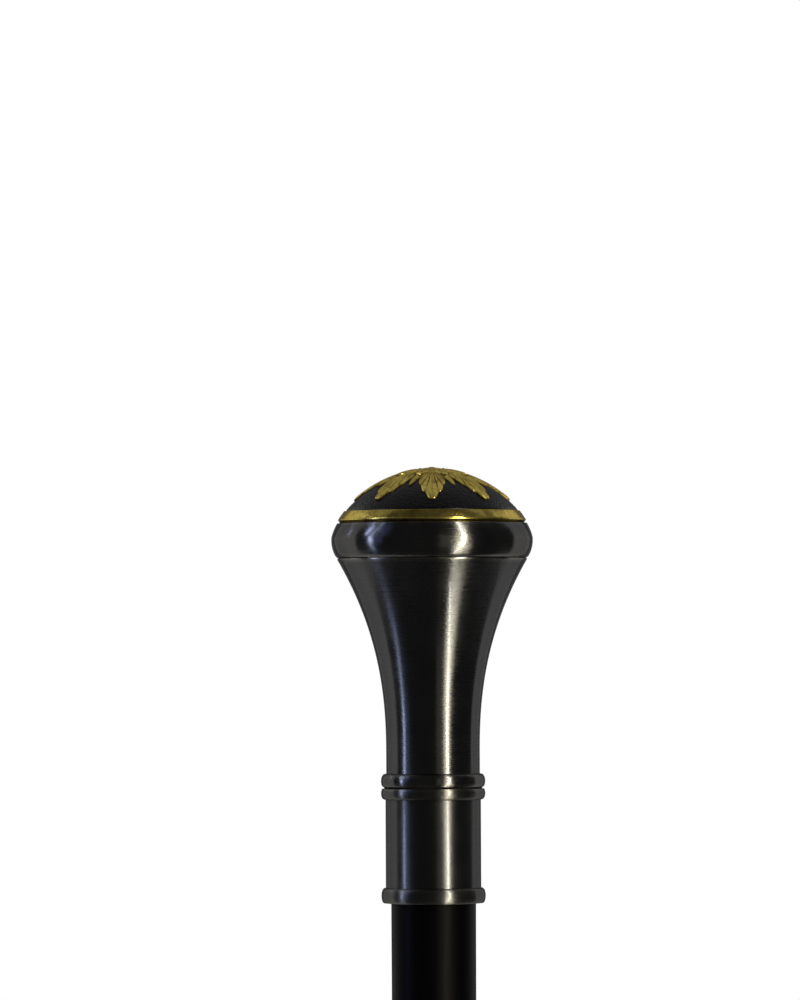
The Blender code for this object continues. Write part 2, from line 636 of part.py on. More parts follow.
def medallion_relief(material, carrier):
    """Leaf ornament cast in one piece, whose underside lies along the dome."""
    spokes = leaf_spokes()
    count = len(spokes)
    under = PLATE_SPHERE_RADIUS + FIT_GAP
    bm = bmesh.new()

    def ring(root, share, flank_height, rib_height):
        """Points at one share of the way from a root circle to the outline, standing off the dome."""
        verts = []
        for angle, reach, nearness in spokes:
            radius = root + share * (reach - root)
            scale = 1 + (flank_height + (rib_height - flank_height) * nearness) / under
            height = PLATE_CENTRE_HEIGHT + scale * math.sqrt(under**2 - radius**2)
            spread = scale * radius
            verts.append(bm.verts.new((spread * math.cos(angle), spread * math.sin(angle), height)))
        return verts

    def close(around, height):
        pole = bm.verts.new((0, 0, PLATE_CENTRE_HEIGHT + under + height))
        for k in range(count):
            bm.faces.new((around[k], around[(k + 1) % count], pole))

    boss_height = LEAF_RIB_HEIGHT + BOSS_HEIGHT_OVER_LEAVES
    rings = []
    for k in range(1, BOSS_STEPS + 1):
        turn = math.pi / 2 * k / BOSS_STEPS
        height = LEAF_EDGE_HEIGHT + (boss_height - LEAF_EDGE_HEIGHT) * math.cos(turn)
        rings.append(ring(BOSS_RADIUS * math.sin(turn), 0, height, height))
    rings.append(ring(BOSS_RADIUS + BOSS_GROOVE, 0, LEAF_FLANK_HEIGHT, LEAF_FLANK_HEIGHT))
    for k in range(LEAF_TOP_STEPS):
        rings.append(ring(LEAF_ROOT_RADIUS, k / LEAF_TOP_STEPS, LEAF_FLANK_HEIGHT, LEAF_RIB_HEIGHT))
    rings.append(ring(LEAF_ROOT_RADIUS, 1, LEAF_EDGE_HEIGHT, LEAF_EDGE_HEIGHT))
    for k in range(LEAF_UNDER_STEPS, -1, -1):
        rings.append(ring(LEAF_ROOT_RADIUS, k / LEAF_UNDER_STEPS, 0.0, 0.0))
    rings.append(ring(BOSS_RADIUS, 0, 0.0, 0.0))
    for first, second in zip(rings, rings[1:]):
        for k in range(count):
            following = (k + 1) % count
            bm.faces.new((first[k], first[following], second[following], second[k]))
    close(rings[0], boss_height)
    close(rings[-1], 0.0)
    return place("medallion_relief", bm, MEDALLION_Z, material, carrier)


def medallion_post(material, carrier):
    """Threaded post brazed under the dome, which passes through the crown's web."""
    inner_radius = PLATE_SPHERE_RADIUS - PLATE_THICKNESS
    flange_radius = POST_FLANGE_DIAMETER / 2
    seat = PLATE_CENTRE_HEIGHT + math.sqrt(inner_radius**2 - flange_radius**2) - FIT_GAP
    top = MEDALLION_Z + seat - POST_Z
    profile = [
        (0.0, 0.0),
        (POST_RADIUS, 0.0),
        (POST_RADIUS, top - POST_FLANGE_THICKNESS),
        (flange_radius, top - POST_FLANGE_THICKNESS),
        (flange_radius, top),
        (0.0, top),
    ]
    return turned("medallion_post", profile, POST_Z, material, carrier, SMALL_SEGMENTS)


def build_stick(finishes, carrier):
    """Everything below the parting line."""
    rubber_tip(finishes["rubber"], carrier)
    sole_disc(finishes["steel"], carrier)
    metal_foot = ferrule(finishes["gunmetal"], carrier)
    wood = shaft(finishes["lacquer"], carrier)
    _, hole = ferrule_brad(finishes["gunmetal"], carrier)
    cut(metal_foot, hole)
    cut(wood, hole)
    stud(finishes["steel"], carrier)
    collar(finishes["gunmetal"], carrier)
    washer = washer_profile(STUD_HOLE_RADIUS, STUD_WASHER_DIAMETER / 2, STUD_WASHER_THICKNESS)
    turned("stud_washer", washer, STUD_WASHER_Z, finishes["steel"], carrier, SMALL_SEGMENTS)
    hex_nut(
        "stud_nut",
        STUD_NUT_ACROSS_FLATS,
        STUD_NUT_HEIGHT,
        STUD_HOLE_RADIUS,
        STUD_NUT_Z,
        finishes["steel"],
        carrier,
    )


def build_handle(finishes, carrier):
    """Everything that comes away when the grip is unscrewed."""
    grip(finishes["gunmetal"], carrier)
    thread_insert(finishes["brass"], carrier)
    crown(finishes["gunmetal"], carrier)
    medallion_plate(finishes["black ground"], carrier)
    medallion_rim(finishes["gilt"], carrier)
    medallion_relief(finishes["gilt"], carrier)
    medallion_post(finishes["brass"], carrier)
    washer = washer_profile(POST_HOLE_RADIUS, POST_WASHER_DIAMETER / 2, POST_WASHER_THICKNESS)
    turned("medallion_washer", washer, POST_WASHER_Z, finishes["steel"], carrier, SMALL_SEGMENTS)
    hex_nut(
        "medallion_nut",
        POST_NUT_ACROSS_FLATS,
        POST_NUT_HEIGHT,
        POST_HOLE_RADIUS,
        POST_NUT_Z,
        finishes["brass"],
        carrier,
    )


def main():
    clear_scene()
    finishes = {
        "rubber": finish("rubber", (0.018, 0.018, 0.018), 0.0, 0.75),
        "lacquer": finish("black lacquer", (0.008, 0.008, 0.009), 0.0, 0.28),
        "gunmetal": finish("gunmetal plate", (0.085, 0.083, 0.08), 1.0, 0.3),
        "steel": finish("zinc-plated steel", (0.55, 0.56, 0.58), 1.0, 0.35),
        "brass": finish("brass", (0.72, 0.53, 0.22), 1.0, 0.35),
        "gilt": finish("gilt", (0.83, 0.58, 0.16), 1.0, 0.25),
        "black ground": finish("black patina", (0.012, 0.012, 0.014), 0.6, 0.45),
        "fibre": finish("black fibre", (0.02, 0.02, 0.02), 0.0, 0.8),
    }
    stick = empty("stick_carrier", 0.0)
    seat = empty("handle_turn_axis", SEAT_WASHER_Z)
    lift = empty("handle_lift_axis", GRIP_Z, seat)
    build_stick(finishes, stick)
    ring = washer_profile(SEAT_WASHER_BORE_RADIUS, SEAT_WASHER_RADIUS, SEAT_WASHER_THICKNESS)
    turned("seat_washer", ring, SEAT_WASHER_Z, finishes["fibre"], seat)
    build_handle(finishes, lift)
    travel = math.ceil((STUD_TOP_Z - INSERT_Z) / STUD_PITCH)
    print(f"the grip is free of the stud after {travel} turns, {travel * STUD_PITCH * 1000:.2f} mm")


main()
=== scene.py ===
"""Looks of a knob-handled walking cane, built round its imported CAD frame.

Shapes are worked out in millimetres and stand on +Z; piece() turns them into meshes in metres.
"""

import math

import bmesh
import bpy
import numpy as np
from mathutils import Euler, Matrix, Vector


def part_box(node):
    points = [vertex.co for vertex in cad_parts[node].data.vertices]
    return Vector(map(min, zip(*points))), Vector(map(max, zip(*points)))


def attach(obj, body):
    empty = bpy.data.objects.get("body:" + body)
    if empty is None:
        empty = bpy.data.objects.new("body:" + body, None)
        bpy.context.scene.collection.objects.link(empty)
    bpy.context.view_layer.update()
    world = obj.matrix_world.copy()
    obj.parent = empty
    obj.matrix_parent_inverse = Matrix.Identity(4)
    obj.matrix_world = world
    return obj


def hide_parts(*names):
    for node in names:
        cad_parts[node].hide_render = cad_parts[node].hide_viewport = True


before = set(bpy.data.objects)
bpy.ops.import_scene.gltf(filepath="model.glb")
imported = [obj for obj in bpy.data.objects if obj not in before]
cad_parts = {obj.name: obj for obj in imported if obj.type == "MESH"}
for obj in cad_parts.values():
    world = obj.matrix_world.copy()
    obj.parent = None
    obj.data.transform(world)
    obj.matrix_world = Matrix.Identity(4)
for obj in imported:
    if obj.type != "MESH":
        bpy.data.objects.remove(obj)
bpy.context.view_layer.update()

MM = 0.001
MERGE_DISTANCE = 0.002
SHARP_DEGREES = 38.0
CORNER_DEGREES = 24.0
EDGE_ROUND = 0.12
EDGE_SHARE = 0.4
WEAR_REACH = 0.4
WEAR_TURN = 1.2
COLUMNS = 176
SMALL_COLUMNS = 64

# Clearance that the CAD model leaves between pieces that touch
FIT_GAP = 0.25

# Rubber tip, ferrule and brad
SOLE_RADIUS = 13.5
SOLE_EDGE = 0.6
SOLE_BAND = 3.0
SOLE_FLARE = 2.7
SOLE_FLARE_HEIGHT = 8.0
SOLE_THICKNESS = 6.0
SOLE_PAD_RADIUS = 3.6
SOLE_GROOVE_WIDTH = 1.6
SOLE_GROOVE_DEPTH = 1.4
TIP_HEIGHT = 34.0
TIP_LIP_HEIGHT = 3.0
TIP_LIP_PROUD = 0.6
TIP_RING_HEIGHTS = (14.0, 16.6, 19.2)
TIP_RING_WIDTH = 0.9
TIP_RING_DEPTH = 0.4
FERRULE_RADIUS = 8.25
FERRULE_LENGTH = 56.0
FERRULE_WALL = 0.9
FERRULE_FLOOR = 1.2
FERRULE_EDGE = 0.5
FERRULE_BEAD_HEIGHT = 3.0
FERRULE_BEAD_PROUD = 0.9
FERRULE_LINE_DROPS = (5.6, 6.6)
FERRULE_LINE_WIDTH = 0.5
FERRULE_LINE_DEPTH = 0.15
BRAD_LENGTH = 6.0
BRAD_RADIUS = 0.75
BRAD_HEAD_RADIUS = 1.3
BRAD_HEAD_HEIGHT = 0.5
BRAD_EDGE = 0.05
BRAD_COLUMNS = 40

# Shaft and the stud in its top. A thread is its pitch, its depth, and the shares of its pitch that lie
# flat on its crest and in its root.
SHAFT_TOP_RADIUS = 10.0
TENON_EDGE = 0.6
STUD_RADIUS = 4.0
STUD_THREAD = (1.25, 0.68, 0.15, 0.2)
STUD_EDGE = 0.6
WOOD_THREAD_RADIUS = 3.5
WOOD_THREAD = (2.8, 0.8, 0.1, 0.35)
STUD_POINT = 5.0
THREAD_ROW = 0.15
STUD_HOLE_RADIUS = STUD_RADIUS + FIT_GAP
STUD_WASHER_RADIUS = 8.0
NUT_ACROSS_FLATS = 13.0
NUT_FACE_SHARE = 0.98
NUT_EDGE = 0.3
NUT_END = 0.5
NUT_END_POWER = 1.2
NUT_COLUMNS = 96

# Collar and grip
COLLAR_RADIUS = 11.25
COLLAR_HEIGHT = 26.95
COLLAR_END_WALL = 1.5
COLLAR_TOP_BEAD = 2.6
COLLAR_FOOT_BEAD = 3.6
BEAD_PROUD = 1.05
BEAD_FULLNESS = 0.75
BEAD_STEPS = 22
SEAT_CUT = 40.0
FOOT_CUT = 25.0
NECK_RADIUS = 11.05
NECK_HEIGHT = 7.9
GRIP_HEIGHT = 53.9
GRIP_BEAD = 3.1
GRIP_BEAD_PROUD = 1.25
GRIP_FLARE_POWER = 2.32
GRIP_WALL = 2.4
LIP_EDGE = 0.6
SEAM_RISE = 0.3
SEAM_DROP = 0.2
SEAM_DEPTH = 0.32
SEAT_WASHER_RADIUS = 10.45
# The seat washer's flange fills the parting gap between the beads; its near-black there is partly painted
# shade.
SEAT_FLANGE_RADIUS = 11.75
SEAT_FLANGE_THICKNESS = 0.36
SEAT_FLANGE_SLANT = 0.3
SEAT_SINK = 0.37
NUT_RECESS_RADIUS = 8.25
INSERT_RADIUS = 5.5
INSERT_LENGTH = 12.0
INSERT_EDGE = 0.3
INSERT_FLANGE_RADIUS = 6.5
INSERT_FLANGE_THICKNESS = 1.5
INSERT_FLANGE_EDGE = 0.2

# Crown and the gilt rim
KNOB_RADIUS = 23.8
MOUTH_RADIUS = 22.6
CROWN_FOOT_RADIUS = 22.7
CROWN_HEIGHT = 8.0
CROWN_BELLY = 3.9
CROWN_SHOULDER = 4.3
CROWN_TOP_DROP = 1.37
CROWN_FOOT_POWER = 2.0
CROWN_TOP_POWER = 1.5
CROWN_WEB = 2.0
SPIGOT_RADIUS = 17.35
SPIGOT_WALL = 2.0
SPIGOT_DEPTH = 4.0
POST_HOLE_RADIUS = 2.25
RIM_RADIUS = 22.2
RIM_BORE = 20.45
RIM_HEIGHT = 2.85
RIM_UNDERCUT_HEIGHT = 0.5
RIM_UNDERCUT_DEPTH = 0.45
RIM_WALL = 1.0
RIM_LIP = 0.95
RIM_TOP_WIDTH = 0.3
RIM_BEAD_RADIUS = 0.22
RIM_BEAD_START = -math.pi / 3
RIM_BEAD_END = math.pi / 2.6
RIM_FACE_SETBACK = 0.17
RIM_FACE_RISE = 0.5
RIM_FACE_SWELL = 0.03
RIM_FACE_NORMAL = (0.77, 0.64)
RIM_COLUMNS = 240
RIM_TARNISH = 0.2

# Domed ground of the medallion: a sphere about a point on the axis, matted with small round grains
PLATE_RADIUS = 20.2
PLATE_EDGE = 3.05
PLATE_RISE = 9.08
PLATE_SPHERE = (PLATE_RADIUS**2 + PLATE_RISE**2) / (2 * PLATE_RISE)
PLATE_CENTRE = PLATE_EDGE + PLATE_RISE - PLATE_SPHERE
PLATE_WALL = 1.2
PLATE_FLANGE_RADIUS = 20.95
PLATE_FLANGE = 0.7
GRAIN_PITCH = 0.62
GRAIN_RADIUS = 0.34
GRAIN_HEIGHT = 0.08
GRAIN_SHIFT = 0.32
GRAIN_FADE = 0.3
GROUND_COLUMNS = 620
GROUND_ROWS = 96

# Leaf ornament: eight lobed leaves, a dart in each notch, two rings of petals, a string of beads and a boss
LEAVES = 8
LEAF_TIP = 18.1
LEAF_NOTCH = 8.8
LEAF_ROOT = 6.0
LEAF_SHARE = 0.75
LEAF_POINT = 0.62
LEAF_LOBES = 3
LEAF_LOBE_DEPTH = 0.8
DART_LENGTH = 5.2
LEAF_STEPS = 13
DART_STEPS = 9
CROWDING = 1.6
INNER_RINGS = 30
OUTER_RINGS = (*np.linspace(0, 0.95, 38)[1:], 0.97, 0.985, 1.0)
OUTLINE_STEPS = 12
ORNAMENT_BORE = 2.6
BEAD_RING_RADIUS = 3.85
BEAD_RADIUS = 0.4
BEADS_PER_LEAF = 3

# Relief of the ornament over the dome. A rib, groove or swell is its height and half width; a pillow is its
# height and the softness of its edge; a petal is its tip's radius, half width and level.
UNDERSIDE = 0.02
LEAF_LEVEL = 0.2
DART_LEVEL = 0.18
PILLOW = (0.24, 0.4)
CARVED_FROM = 4.5
FLUTE = 0.2
FLUTE_FAN = 0.1
FLUTE_FAN_POWER = 0.8
MIDRIB = (0.2, 0.26)
MIDRIB_FADE = 0.7
MIDRIB_GROOVE = (0.1, 0.2)
MIDRIB_GROOVE_OFFSET = 0.62
LEAF_TIP_SWELL = (0.16, 1.4)
DART_RIB = (0.16, 0.3)
NOTCH_GROOVE = (0.12, 0.22)
NOTCH_SOFTNESS = 0.5
PETALS = ((7.4, 1.25, 0.5), (8.5, 1.6, 0.58))
PETAL_ROOT = 1.2
PETAL_PILLOW = (0.26, 0.35)
PETAL_RIB = (0.14, 0.22)
PETAL_GROOVE = (0.06, 0.16)
PETAL_GROOVE_OFFSET = 0.5
PETAL_EDGE = 0.1
BEAD_LEVEL = 0.5
BEAD_STRETCH = 1.1
TROUGH_LEVEL = 0.45
TROUGH = (0.5, 0.15)
SMOOTHING = 8
HOLLOW_DEPTH = 0.05
HOLLOW_EDGE = 0.12
BOSS_RADIUS = 3.2
BOSS_HEIGHT = 1.13
BOSS_RIM = 0.35
BOSS_UNDERSIDE = 0.3
BOSS_POWER = 2.4
BOSS_FLUTES = 8
BOSS_FLUTE = 0.14
BOSS_COLUMNS = 120
PIP_RADIUS = 0.75
PIP_PROUD = 0.15
PIP_SINK = 0.22
PIP_STRETCH = 0.3
PIP_GROOVE = 0.1

# Studio, in metres, degrees and levels where 1 renders white
LENS = 244.0
CAMERA_PLACE = (-0.00768, -1.6, 0.876)
CAMERA_TILT = 1.307
CAMERA_ROLL = 0.25
KNOB_LEVEL = 0.87
AMBIENT = 0.5
SUN_LEVEL = 0.6
SUN_SPREAD = 30.0
SUN_ELEVATION = 48.0
SUN_AZIMUTH = 40.0
LUNE_RADIUS = 3.2
LUNE_COLUMNS = 40
LUNE_ROWS = 37
DRAPE_LEFT = -97.0
DRAPE_RIGHT = 106.5
DRAPE_SWELL = 7.0
DRAPE_SWELL_ELEVATION = 28.0
DRAPE_SWELL_END = 40.0
DRAPE_LEVEL = 0.085
FLAG_EDGE = 150.0
FLAG_LEVEL = 0.2
CEILING_X = (-2.0, 2.0)
CEILING_Y = (-0.1, 2.4)
CEILING_RISE = 2.0
CEILING_LEVEL = 0.4
FLOOR_RADIUS = 3.0
FLOOR_DROP = 0.0001
FLOOR_FADE = (0.4, 0.97)


def low_of(node):
    """Lowest height of a CAD node, in millimetres."""
    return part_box(node)[0].z / MM


def high_of(node):
    """Highest height of a CAD node, in millimetres."""
    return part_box(node)[1].z / MM


def linear(code):
    """Linear red, green, blue and alpha of an sRGB hex colour."""
    channels = np.array([int(code[k : k + 2], 16) for k in (1, 3, 5)]) / 255
    curved = ((channels + 0.055) / 1.055) ** 2.4
    return (*np.where(channels <= 0.04045, channels / 12.92, curved).tolist(), 1.0)


def feed(tree, target, inputs):
    """Sets a node's inputs: a plain value as it is, a hex colour as linear, a socket or a node's first
    live output by a link."""
    for socket, value in inputs.items():
        if isinstance(value, bpy.types.Node):
            value = next(output for output in value.outputs if output.enabled)
        if isinstance(value, bpy.types.NodeSocket):
            tree.links.new(value, target.inputs[socket])
        else:
            target.inputs[socket].default_value = linear(value) if isinstance(value, str) else value


def node(tree, kind, inputs, **settings):
    """Adds one node with its settings and inputs. A Map Range takes its value and its from and to limits
    at 0 to 4, and a Mix its factor at 0, then two numbers at 2 and 3 or two colours at 6 and 7."""
    made = tree.nodes.new("ShaderNode" + kind)
    for name, value in settings.items():
        setattr(made, name, value)
    feed(tree, made, inputs)
    return made


def finish_base(name, **sockets):
    """A new material, its tree, its shader with these uniform values, and its Object coordinates."""
    material = bpy.data.materials.new(name)
    material.use_nodes = True
    tree = material.node_tree
    shader = tree.nodes["Principled BSDF"]
    feed(tree, shader, {socket.replace("_", " "): value for socket, value in sockets.items()})
    return material, tree, shader, node(tree, "TexCoord", {}).outputs["Object"]


def grain_noise(tree, place, sizes, detail=2.0, roughness=0.5):
    """Noise from 0 to 1 whose lumps have these sizes in millimetres along x, y and z."""
    scale = tuple(1 / (size * MM) for size in sizes)
    mapped = node(tree, "Mapping", {"Vector": place, "Scale": scale})
    inputs = {"Vector": mapped, "Scale": 1.0, "Detail": detail, "Roughness": roughness}
    return node(tree, "TexNoise", inputs)


def bumped(tree, shader, *layers):
    """Adds bump layers to a shader, each a height from 0 to 1 and its depth in millimetres."""
    inputs = {}
    for height, depth in layers:
        inputs.update({"Height": height, "Distance": depth * MM})
        inputs["Normal"] = node(tree, "Bump", inputs)
    feed(tree, shader, {"Normal": inputs["Normal"]})


def two_toned(tree, shader, mask, first, second, grain, smooth, rough):
    """Blends a shader's colour between two by a mask, and its roughness between two levels by a noise."""
    colour = node(tree, "Mix", {0: mask, 6: first, 7: second}, data_type="RGBA")
    satin = node(tree, "MapRange", {0: grain, 1: 0.3, 2: 0.7, 3: smooth, 4: rough})
    feed(tree, shader, {"Base Color": colour, "Roughness": satin})


def black_nickel(name, smooth, rough):
    """Zinc casting plated with black nickel, brushed round and round and thinly lacquered: dark metal that
    draws each light out along the axis as a ragged band, under the lacquer's own crisp line of it. Its
    brush lines are drawn a few times as wide as real ones, so that they show. Its proud edges and bead
    crests turn paler, partly as wear and partly as a painted highlight."""
    values = {"Metallic": 1.0, "Anisotropic": 0.95, "Anisotropic_Rotation": 0.25}
    values.update({"Specular_Tint": "#adadad", "Coat_Weight": 0.15, "Coat_Roughness": 0.07})
    material, tree, shader, place = finish_base(name, **values)
    streaks = grain_noise(tree, place, (7.0, 7.0, 0.22), 3.0, 0.6)
    clouds = grain_noise(tree, place, (5.0, 5.0, 7.0), 3.0)
    ripple = grain_noise(tree, place, (1.3, 1.3, 0.26))
    pits = grain_noise(tree, place, (0.5, 0.5, 0.5))
    # Paler metal on proud edges and bead crests: partly wear, partly a painted highlight.
    wear_and_sheen_level = node(tree, "Attribute", {}, attribute_name="wear").outputs["Fac"]
    patches = node(tree, "MapRange", {0: clouds, 1: 0.35, 2: 0.65, 3: 0.3, 4: 1.0})
    rubbed_and_sheen = node(tree, "Math", {0: wear_and_sheen_level, 1: patches}, operation="MULTIPLY")
    plate = node(tree, "Mix", {0: clouds, 6: "#39393b", 7: "#454442"}, data_type="RGBA")
    colour = node(tree, "Mix", {0: rubbed_and_sheen, 6: plate, 7: "#66635b"}, data_type="RGBA")
    brushing = node(tree, "MapRange", {0: streaks, 1: 0.3, 2: 0.7, 3: smooth, 4: rough})
    haze = node(tree, "MapRange", {0: clouds, 1: 0.3, 2: 0.7, 3: -0.04, 4: 0.05})
    satin = node(tree, "Math", {0: brushing, 1: haze}, operation="ADD")
    tangent = node(tree, "Tangent", {}, direction_type="RADIAL", axis="Z")
    feed(tree, shader, {"Base Color": colour, "Roughness": satin, "Tangent": tangent})
    specks = node(tree, "MapRange", {0: pits, 1: 0.62, 2: 0.75})
    bumped(tree, shader, (streaks, 0.006), (ripple, 0.02), (specks, -0.004))
    return material


def gilding(name, pale, deep, smooth, rough):
    """Gilt brass, polished high and antiqued: olive gold clouded with tarnish, brown lacquer left in the
    hollows, and the faint ripple of a die-cast skin."""
    material, tree, shader, place = finish_base(name, Metallic=1.0, Specular_Tint="#e7d9c3")
    skin = grain_noise(tree, place, (0.7, 0.7, 0.7))
    clouds = grain_noise(tree, place, (3.0, 3.0, 3.0), 3.0)
    hollow = node(tree, "Attribute", {}, attribute_name="hollow").outputs["Fac"]
    patches = node(tree, "MapRange", {0: clouds, 1: 0.3, 2: 0.6, 3: 0.7, 4: 1.0})
    lacquered = node(tree, "Math", {0: hollow, 1: patches}, operation="MULTIPLY")
    mottle = node(tree, "MapRange", {0: skin, 1: 0.35, 2: 0.65})
    gilt = node(tree, "Mix", {0: mottle, 6: pale, 7: deep}, data_type="RGBA")
    tarnish = node(tree, "MapRange", {0: clouds, 1: 0.5, 2: 0.72, 3: 0.0, 4: 0.6})
    gilt = node(tree, "Mix", {0: tarnish, 6: gilt, 7: "#6f5a2a"}, data_type="RGBA")
    gilt = node(tree, "Mix", {0: lacquered, 6: gilt, 7: "#33220f"}, data_type="RGBA")
    dulled = node(tree, "MapRange", {0: lacquered, 1: 0.0, 2: 1.0, 3: smooth, 4: rough})
    feed(tree, shader, {"Base Color": gilt, "Roughness": dulled})
    bumped(tree, shader, (skin, 0.02), (clouds, 0.03))
    return material


def black_patina():
    """Brass blackened with a sulphide patina and waxed: a black ground whose matted grains glint."""
    material, tree, shader, place = finish_base("black_patina", Specular_IOR_Level=0.1)
    specks = grain_noise(tree, place, (0.3, 0.3, 0.3))
    two_toned(tree, shader, specks, "#040405", "#0a0a0d", specks, 0.2, 0.36)
    bumped(tree, shader, (specks, 0.03))
    return material


def black_lacquer():
    """Beech stained black under satin lacquer: nearly black, a low soft sheen, and the long pores of the
    wood just showing through. The pores are drawn a few times as wide as real ones, so that they show."""
    material, tree, shader, place = finish_base("satin_black_lacquer", Specular_IOR_Level=0.021)
    pores = grain_noise(tree, place, (0.45, 0.45, 26.0), 3.0, 0.6)
    skin = grain_noise(tree, place, (1.6, 1.6, 2.4))
    two_toned(tree, shader, pores, "#010102", "#040304", pores, 0.36, 0.46)
    bumped(tree, shader, (pores, 0.012), (skin, 0.02))
    return material


def moulded_rubber():
    """Carbon-black rubber, press-moulded: matt and finely pitted, greyer where it scuffs or holds dust."""
    material, tree, shader, place = finish_base("moulded_rubber", Specular_IOR_Level=0.25)
    pits = grain_noise(tree, place, (0.22, 0.22, 0.22))
    clouds = grain_noise(tree, place, (4.0, 4.0, 4.0), 3.0)
    wear_and_sheen_level = node(tree, "Attribute", {}, attribute_name="wear").outputs["Fac"]
    hollow = node(tree, "Attribute", {}, attribute_name="hollow").outputs["Fac"]
    either = node(tree, "Math", {0: wear_and_sheen_level, 1: hollow}, operation="ADD")
    patches = node(tree, "MapRange", {0: clouds, 1: 0.4, 2: 0.7})
    scuffed = node(tree, "Math", {0: either, 1: patches}, operation="MULTIPLY")
    skin = node(tree, "Mix", {0: clouds, 6: "#121212", 7: "#1b1a19"}, data_type="RGBA")
    two_toned(tree, shader, scuffed, skin, "#3b3833", clouds, 0.62, 0.8)
    bumped(tree, shader, (pits, 0.03), (clouds, 0.04))
    return material


def zinc_plate():
    """Mild steel, zinc-plated and passivated: pale grey metal with a faint straw tint in patches."""
    material, tree, shader, place = finish_base("zinc_plated_steel", Metallic=1.0)
    clouds = grain_noise(tree, place, (2.5, 2.5, 2.5), 3.0)
    fine = grain_noise(tree, place, (0.3, 0.3, 0.3))
    patches = node(tree, "MapRange", {0: clouds, 1: 0.4, 2: 0.65})
    two_toned(tree, shader, patches, "#b4b8bd", "#bdb498", clouds, 0.3, 0.44)
    bumped(tree, shader, (fine, 0.01))
    return material


def bare_brass():
    """Free-cutting brass straight from the lathe: yellow metal with fine turning rings and some tarnish."""
    material, tree, shader, place = finish_base("turned_brass", Metallic=1.0)
    rings = grain_noise(tree, place, (6.0, 6.0, 0.18))
    clouds = grain_noise(tree, place, (2.0, 2.0, 2.0), 3.0)
    two_toned(tree, shader, clouds, "#d0a85c", "#9c7a3c", rings, 0.26, 0.4)
    bumped(tree, shader, (rings, 0.008))
    return material


def vulcanised_fibre():
    """Black vulcanised fibre sheet, punched out: dull, with the felted strands of its paper. Its near-black
    is partly painted shade, where the ring's flange fills the parting gap.
    """
    material, tree, shader, place = finish_base("vulcanised_fibre", Specular_IOR_Level=0.2)
    strands = grain_noise(tree, place, (0.25, 1.4, 0.6), 3.0)
    two_toned(tree, shader, strands, "#0a0908", "#161412", strands, 0.8, 0.95)
    bumped(tree, shader, (strands, 0.03))
    return material


def quads(rows, columns, closed):
    """Corner numbers of the cells of a grid of points whose last column meets its first. A closed grid's
    last row meets its first too."""
    row, column = np.meshgrid(np.arange(rows if closed else rows - 1), np.arange(columns), indexing="ij")
    next_row = (row + 1) % rows * columns
    next_column = (column + 1) % columns
    row = row * columns
    corners = (row + column, row + next_column, next_row + next_column, next_row + column)
    return np.stack(corners, axis=-1).reshape(-1, 4)


def linked(name, data, *hidden_from):
    """A new object in the scene, hidden from some kinds of ray."""
    obj = bpy.data.objects.new(name, data)
    bpy.context.scene.collection.objects.link(obj)
    for ray in hidden_from:
        setattr(obj, "visible_" + ray, False)
    return obj


def piece(name, points, faces, finish, slot, body, *nodes, **values):
    """One finished piece from points in millimetres: doubles merged, faces turned outwards, smooth but for
    its sharp edges, with values per point for its material. It rides on its body and stands for its CAD
    nodes."""
    mesh = bpy.data.meshes.new(name)
    mesh.from_pydata((points.reshape(-1, 3) * MM).tolist(), [], faces.tolist())
    for key, value in values.items():
        layer = mesh.attributes.new(key, "FLOAT", "POINT")
        layer.data.foreach_set("value", value.astype(np.float32).ravel())
    bm = bmesh.new()
    bm.from_mesh(mesh)
    bmesh.ops.remove_doubles(bm, verts=bm.verts, dist=MERGE_DISTANCE * MM)
    bmesh.ops.recalc_face_normals(bm, faces=bm.faces)
    bm.to_mesh(mesh)
    bm.free()
    mesh.shade_smooth()
    mesh.set_sharp_from_angle(angle=math.radians(SHARP_DEGREES))
    mesh.materials.append(finish)
    obj = linked(name, mesh)
    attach(obj, body)
    if nodes:
        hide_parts(*nodes)


def lathe(radius, height, angles):
    """Points at x = r cos a, y = r sin a, z = h, for a radius and height per row, or per row and column."""
    radius = radius if radius.ndim == 2 else radius[:, None]
    height = height if height.ndim == 2 else height[:, None]
    grid = np.broadcast_arrays(radius * np.cos(angles), radius * np.sin(angles), height)
    return np.stack(grid, axis=-1)


def around(columns):
    """Angles of evenly spaced columns round the axis."""
    return np.arange(columns) * (2 * np.pi / columns)


def pairs(radius, height):
    """Profile points from an array of radii and one of heights."""
    return np.stack([radius, height], axis=1)


def bezier(start, corner, end, t):
    """Points of a quadratic Bezier at shares t of its way."""
    return (1 - t) ** 2 * start + 2 * t * (1 - t) * corner + t**2 * end


def eased(profile, width=EDGE_ROUND, steps=3):
    """The profile with each corner off the axis turned into a short curve: a Bezier between the points one
    width before and after it."""
    back = np.roll(profile, 1, axis=0) - profile
    ahead = np.roll(profile, -1, axis=0) - profile
    back_length = np.linalg.norm(back, axis=1, keepdims=True)
    ahead_length = np.linalg.norm(ahead, axis=1, keepdims=True)
    straight = -(back * ahead).sum(axis=1) / (back_length * ahead_length)[:, 0]
    corner = (straight < math.cos(math.radians(CORNER_DEGREES))) & (profile[:, 0] > 0)
    reach = np.minimum(width, EDGE_SHARE * np.minimum(back_length, ahead_length))
    start = profile + back / back_length * reach
    end = profile + ahead / ahead_length * reach
    t = np.linspace(0, 1, steps + 1)[None, :, None]
    curve = bezier(start[:, None], profile[:, None], end[:, None], t)
    curve = np.where(corner[:, None, None], curve, profile[:, None])
    keep = corner[:, None] | (np.arange(steps + 1) == 0)
    return curve[keep]


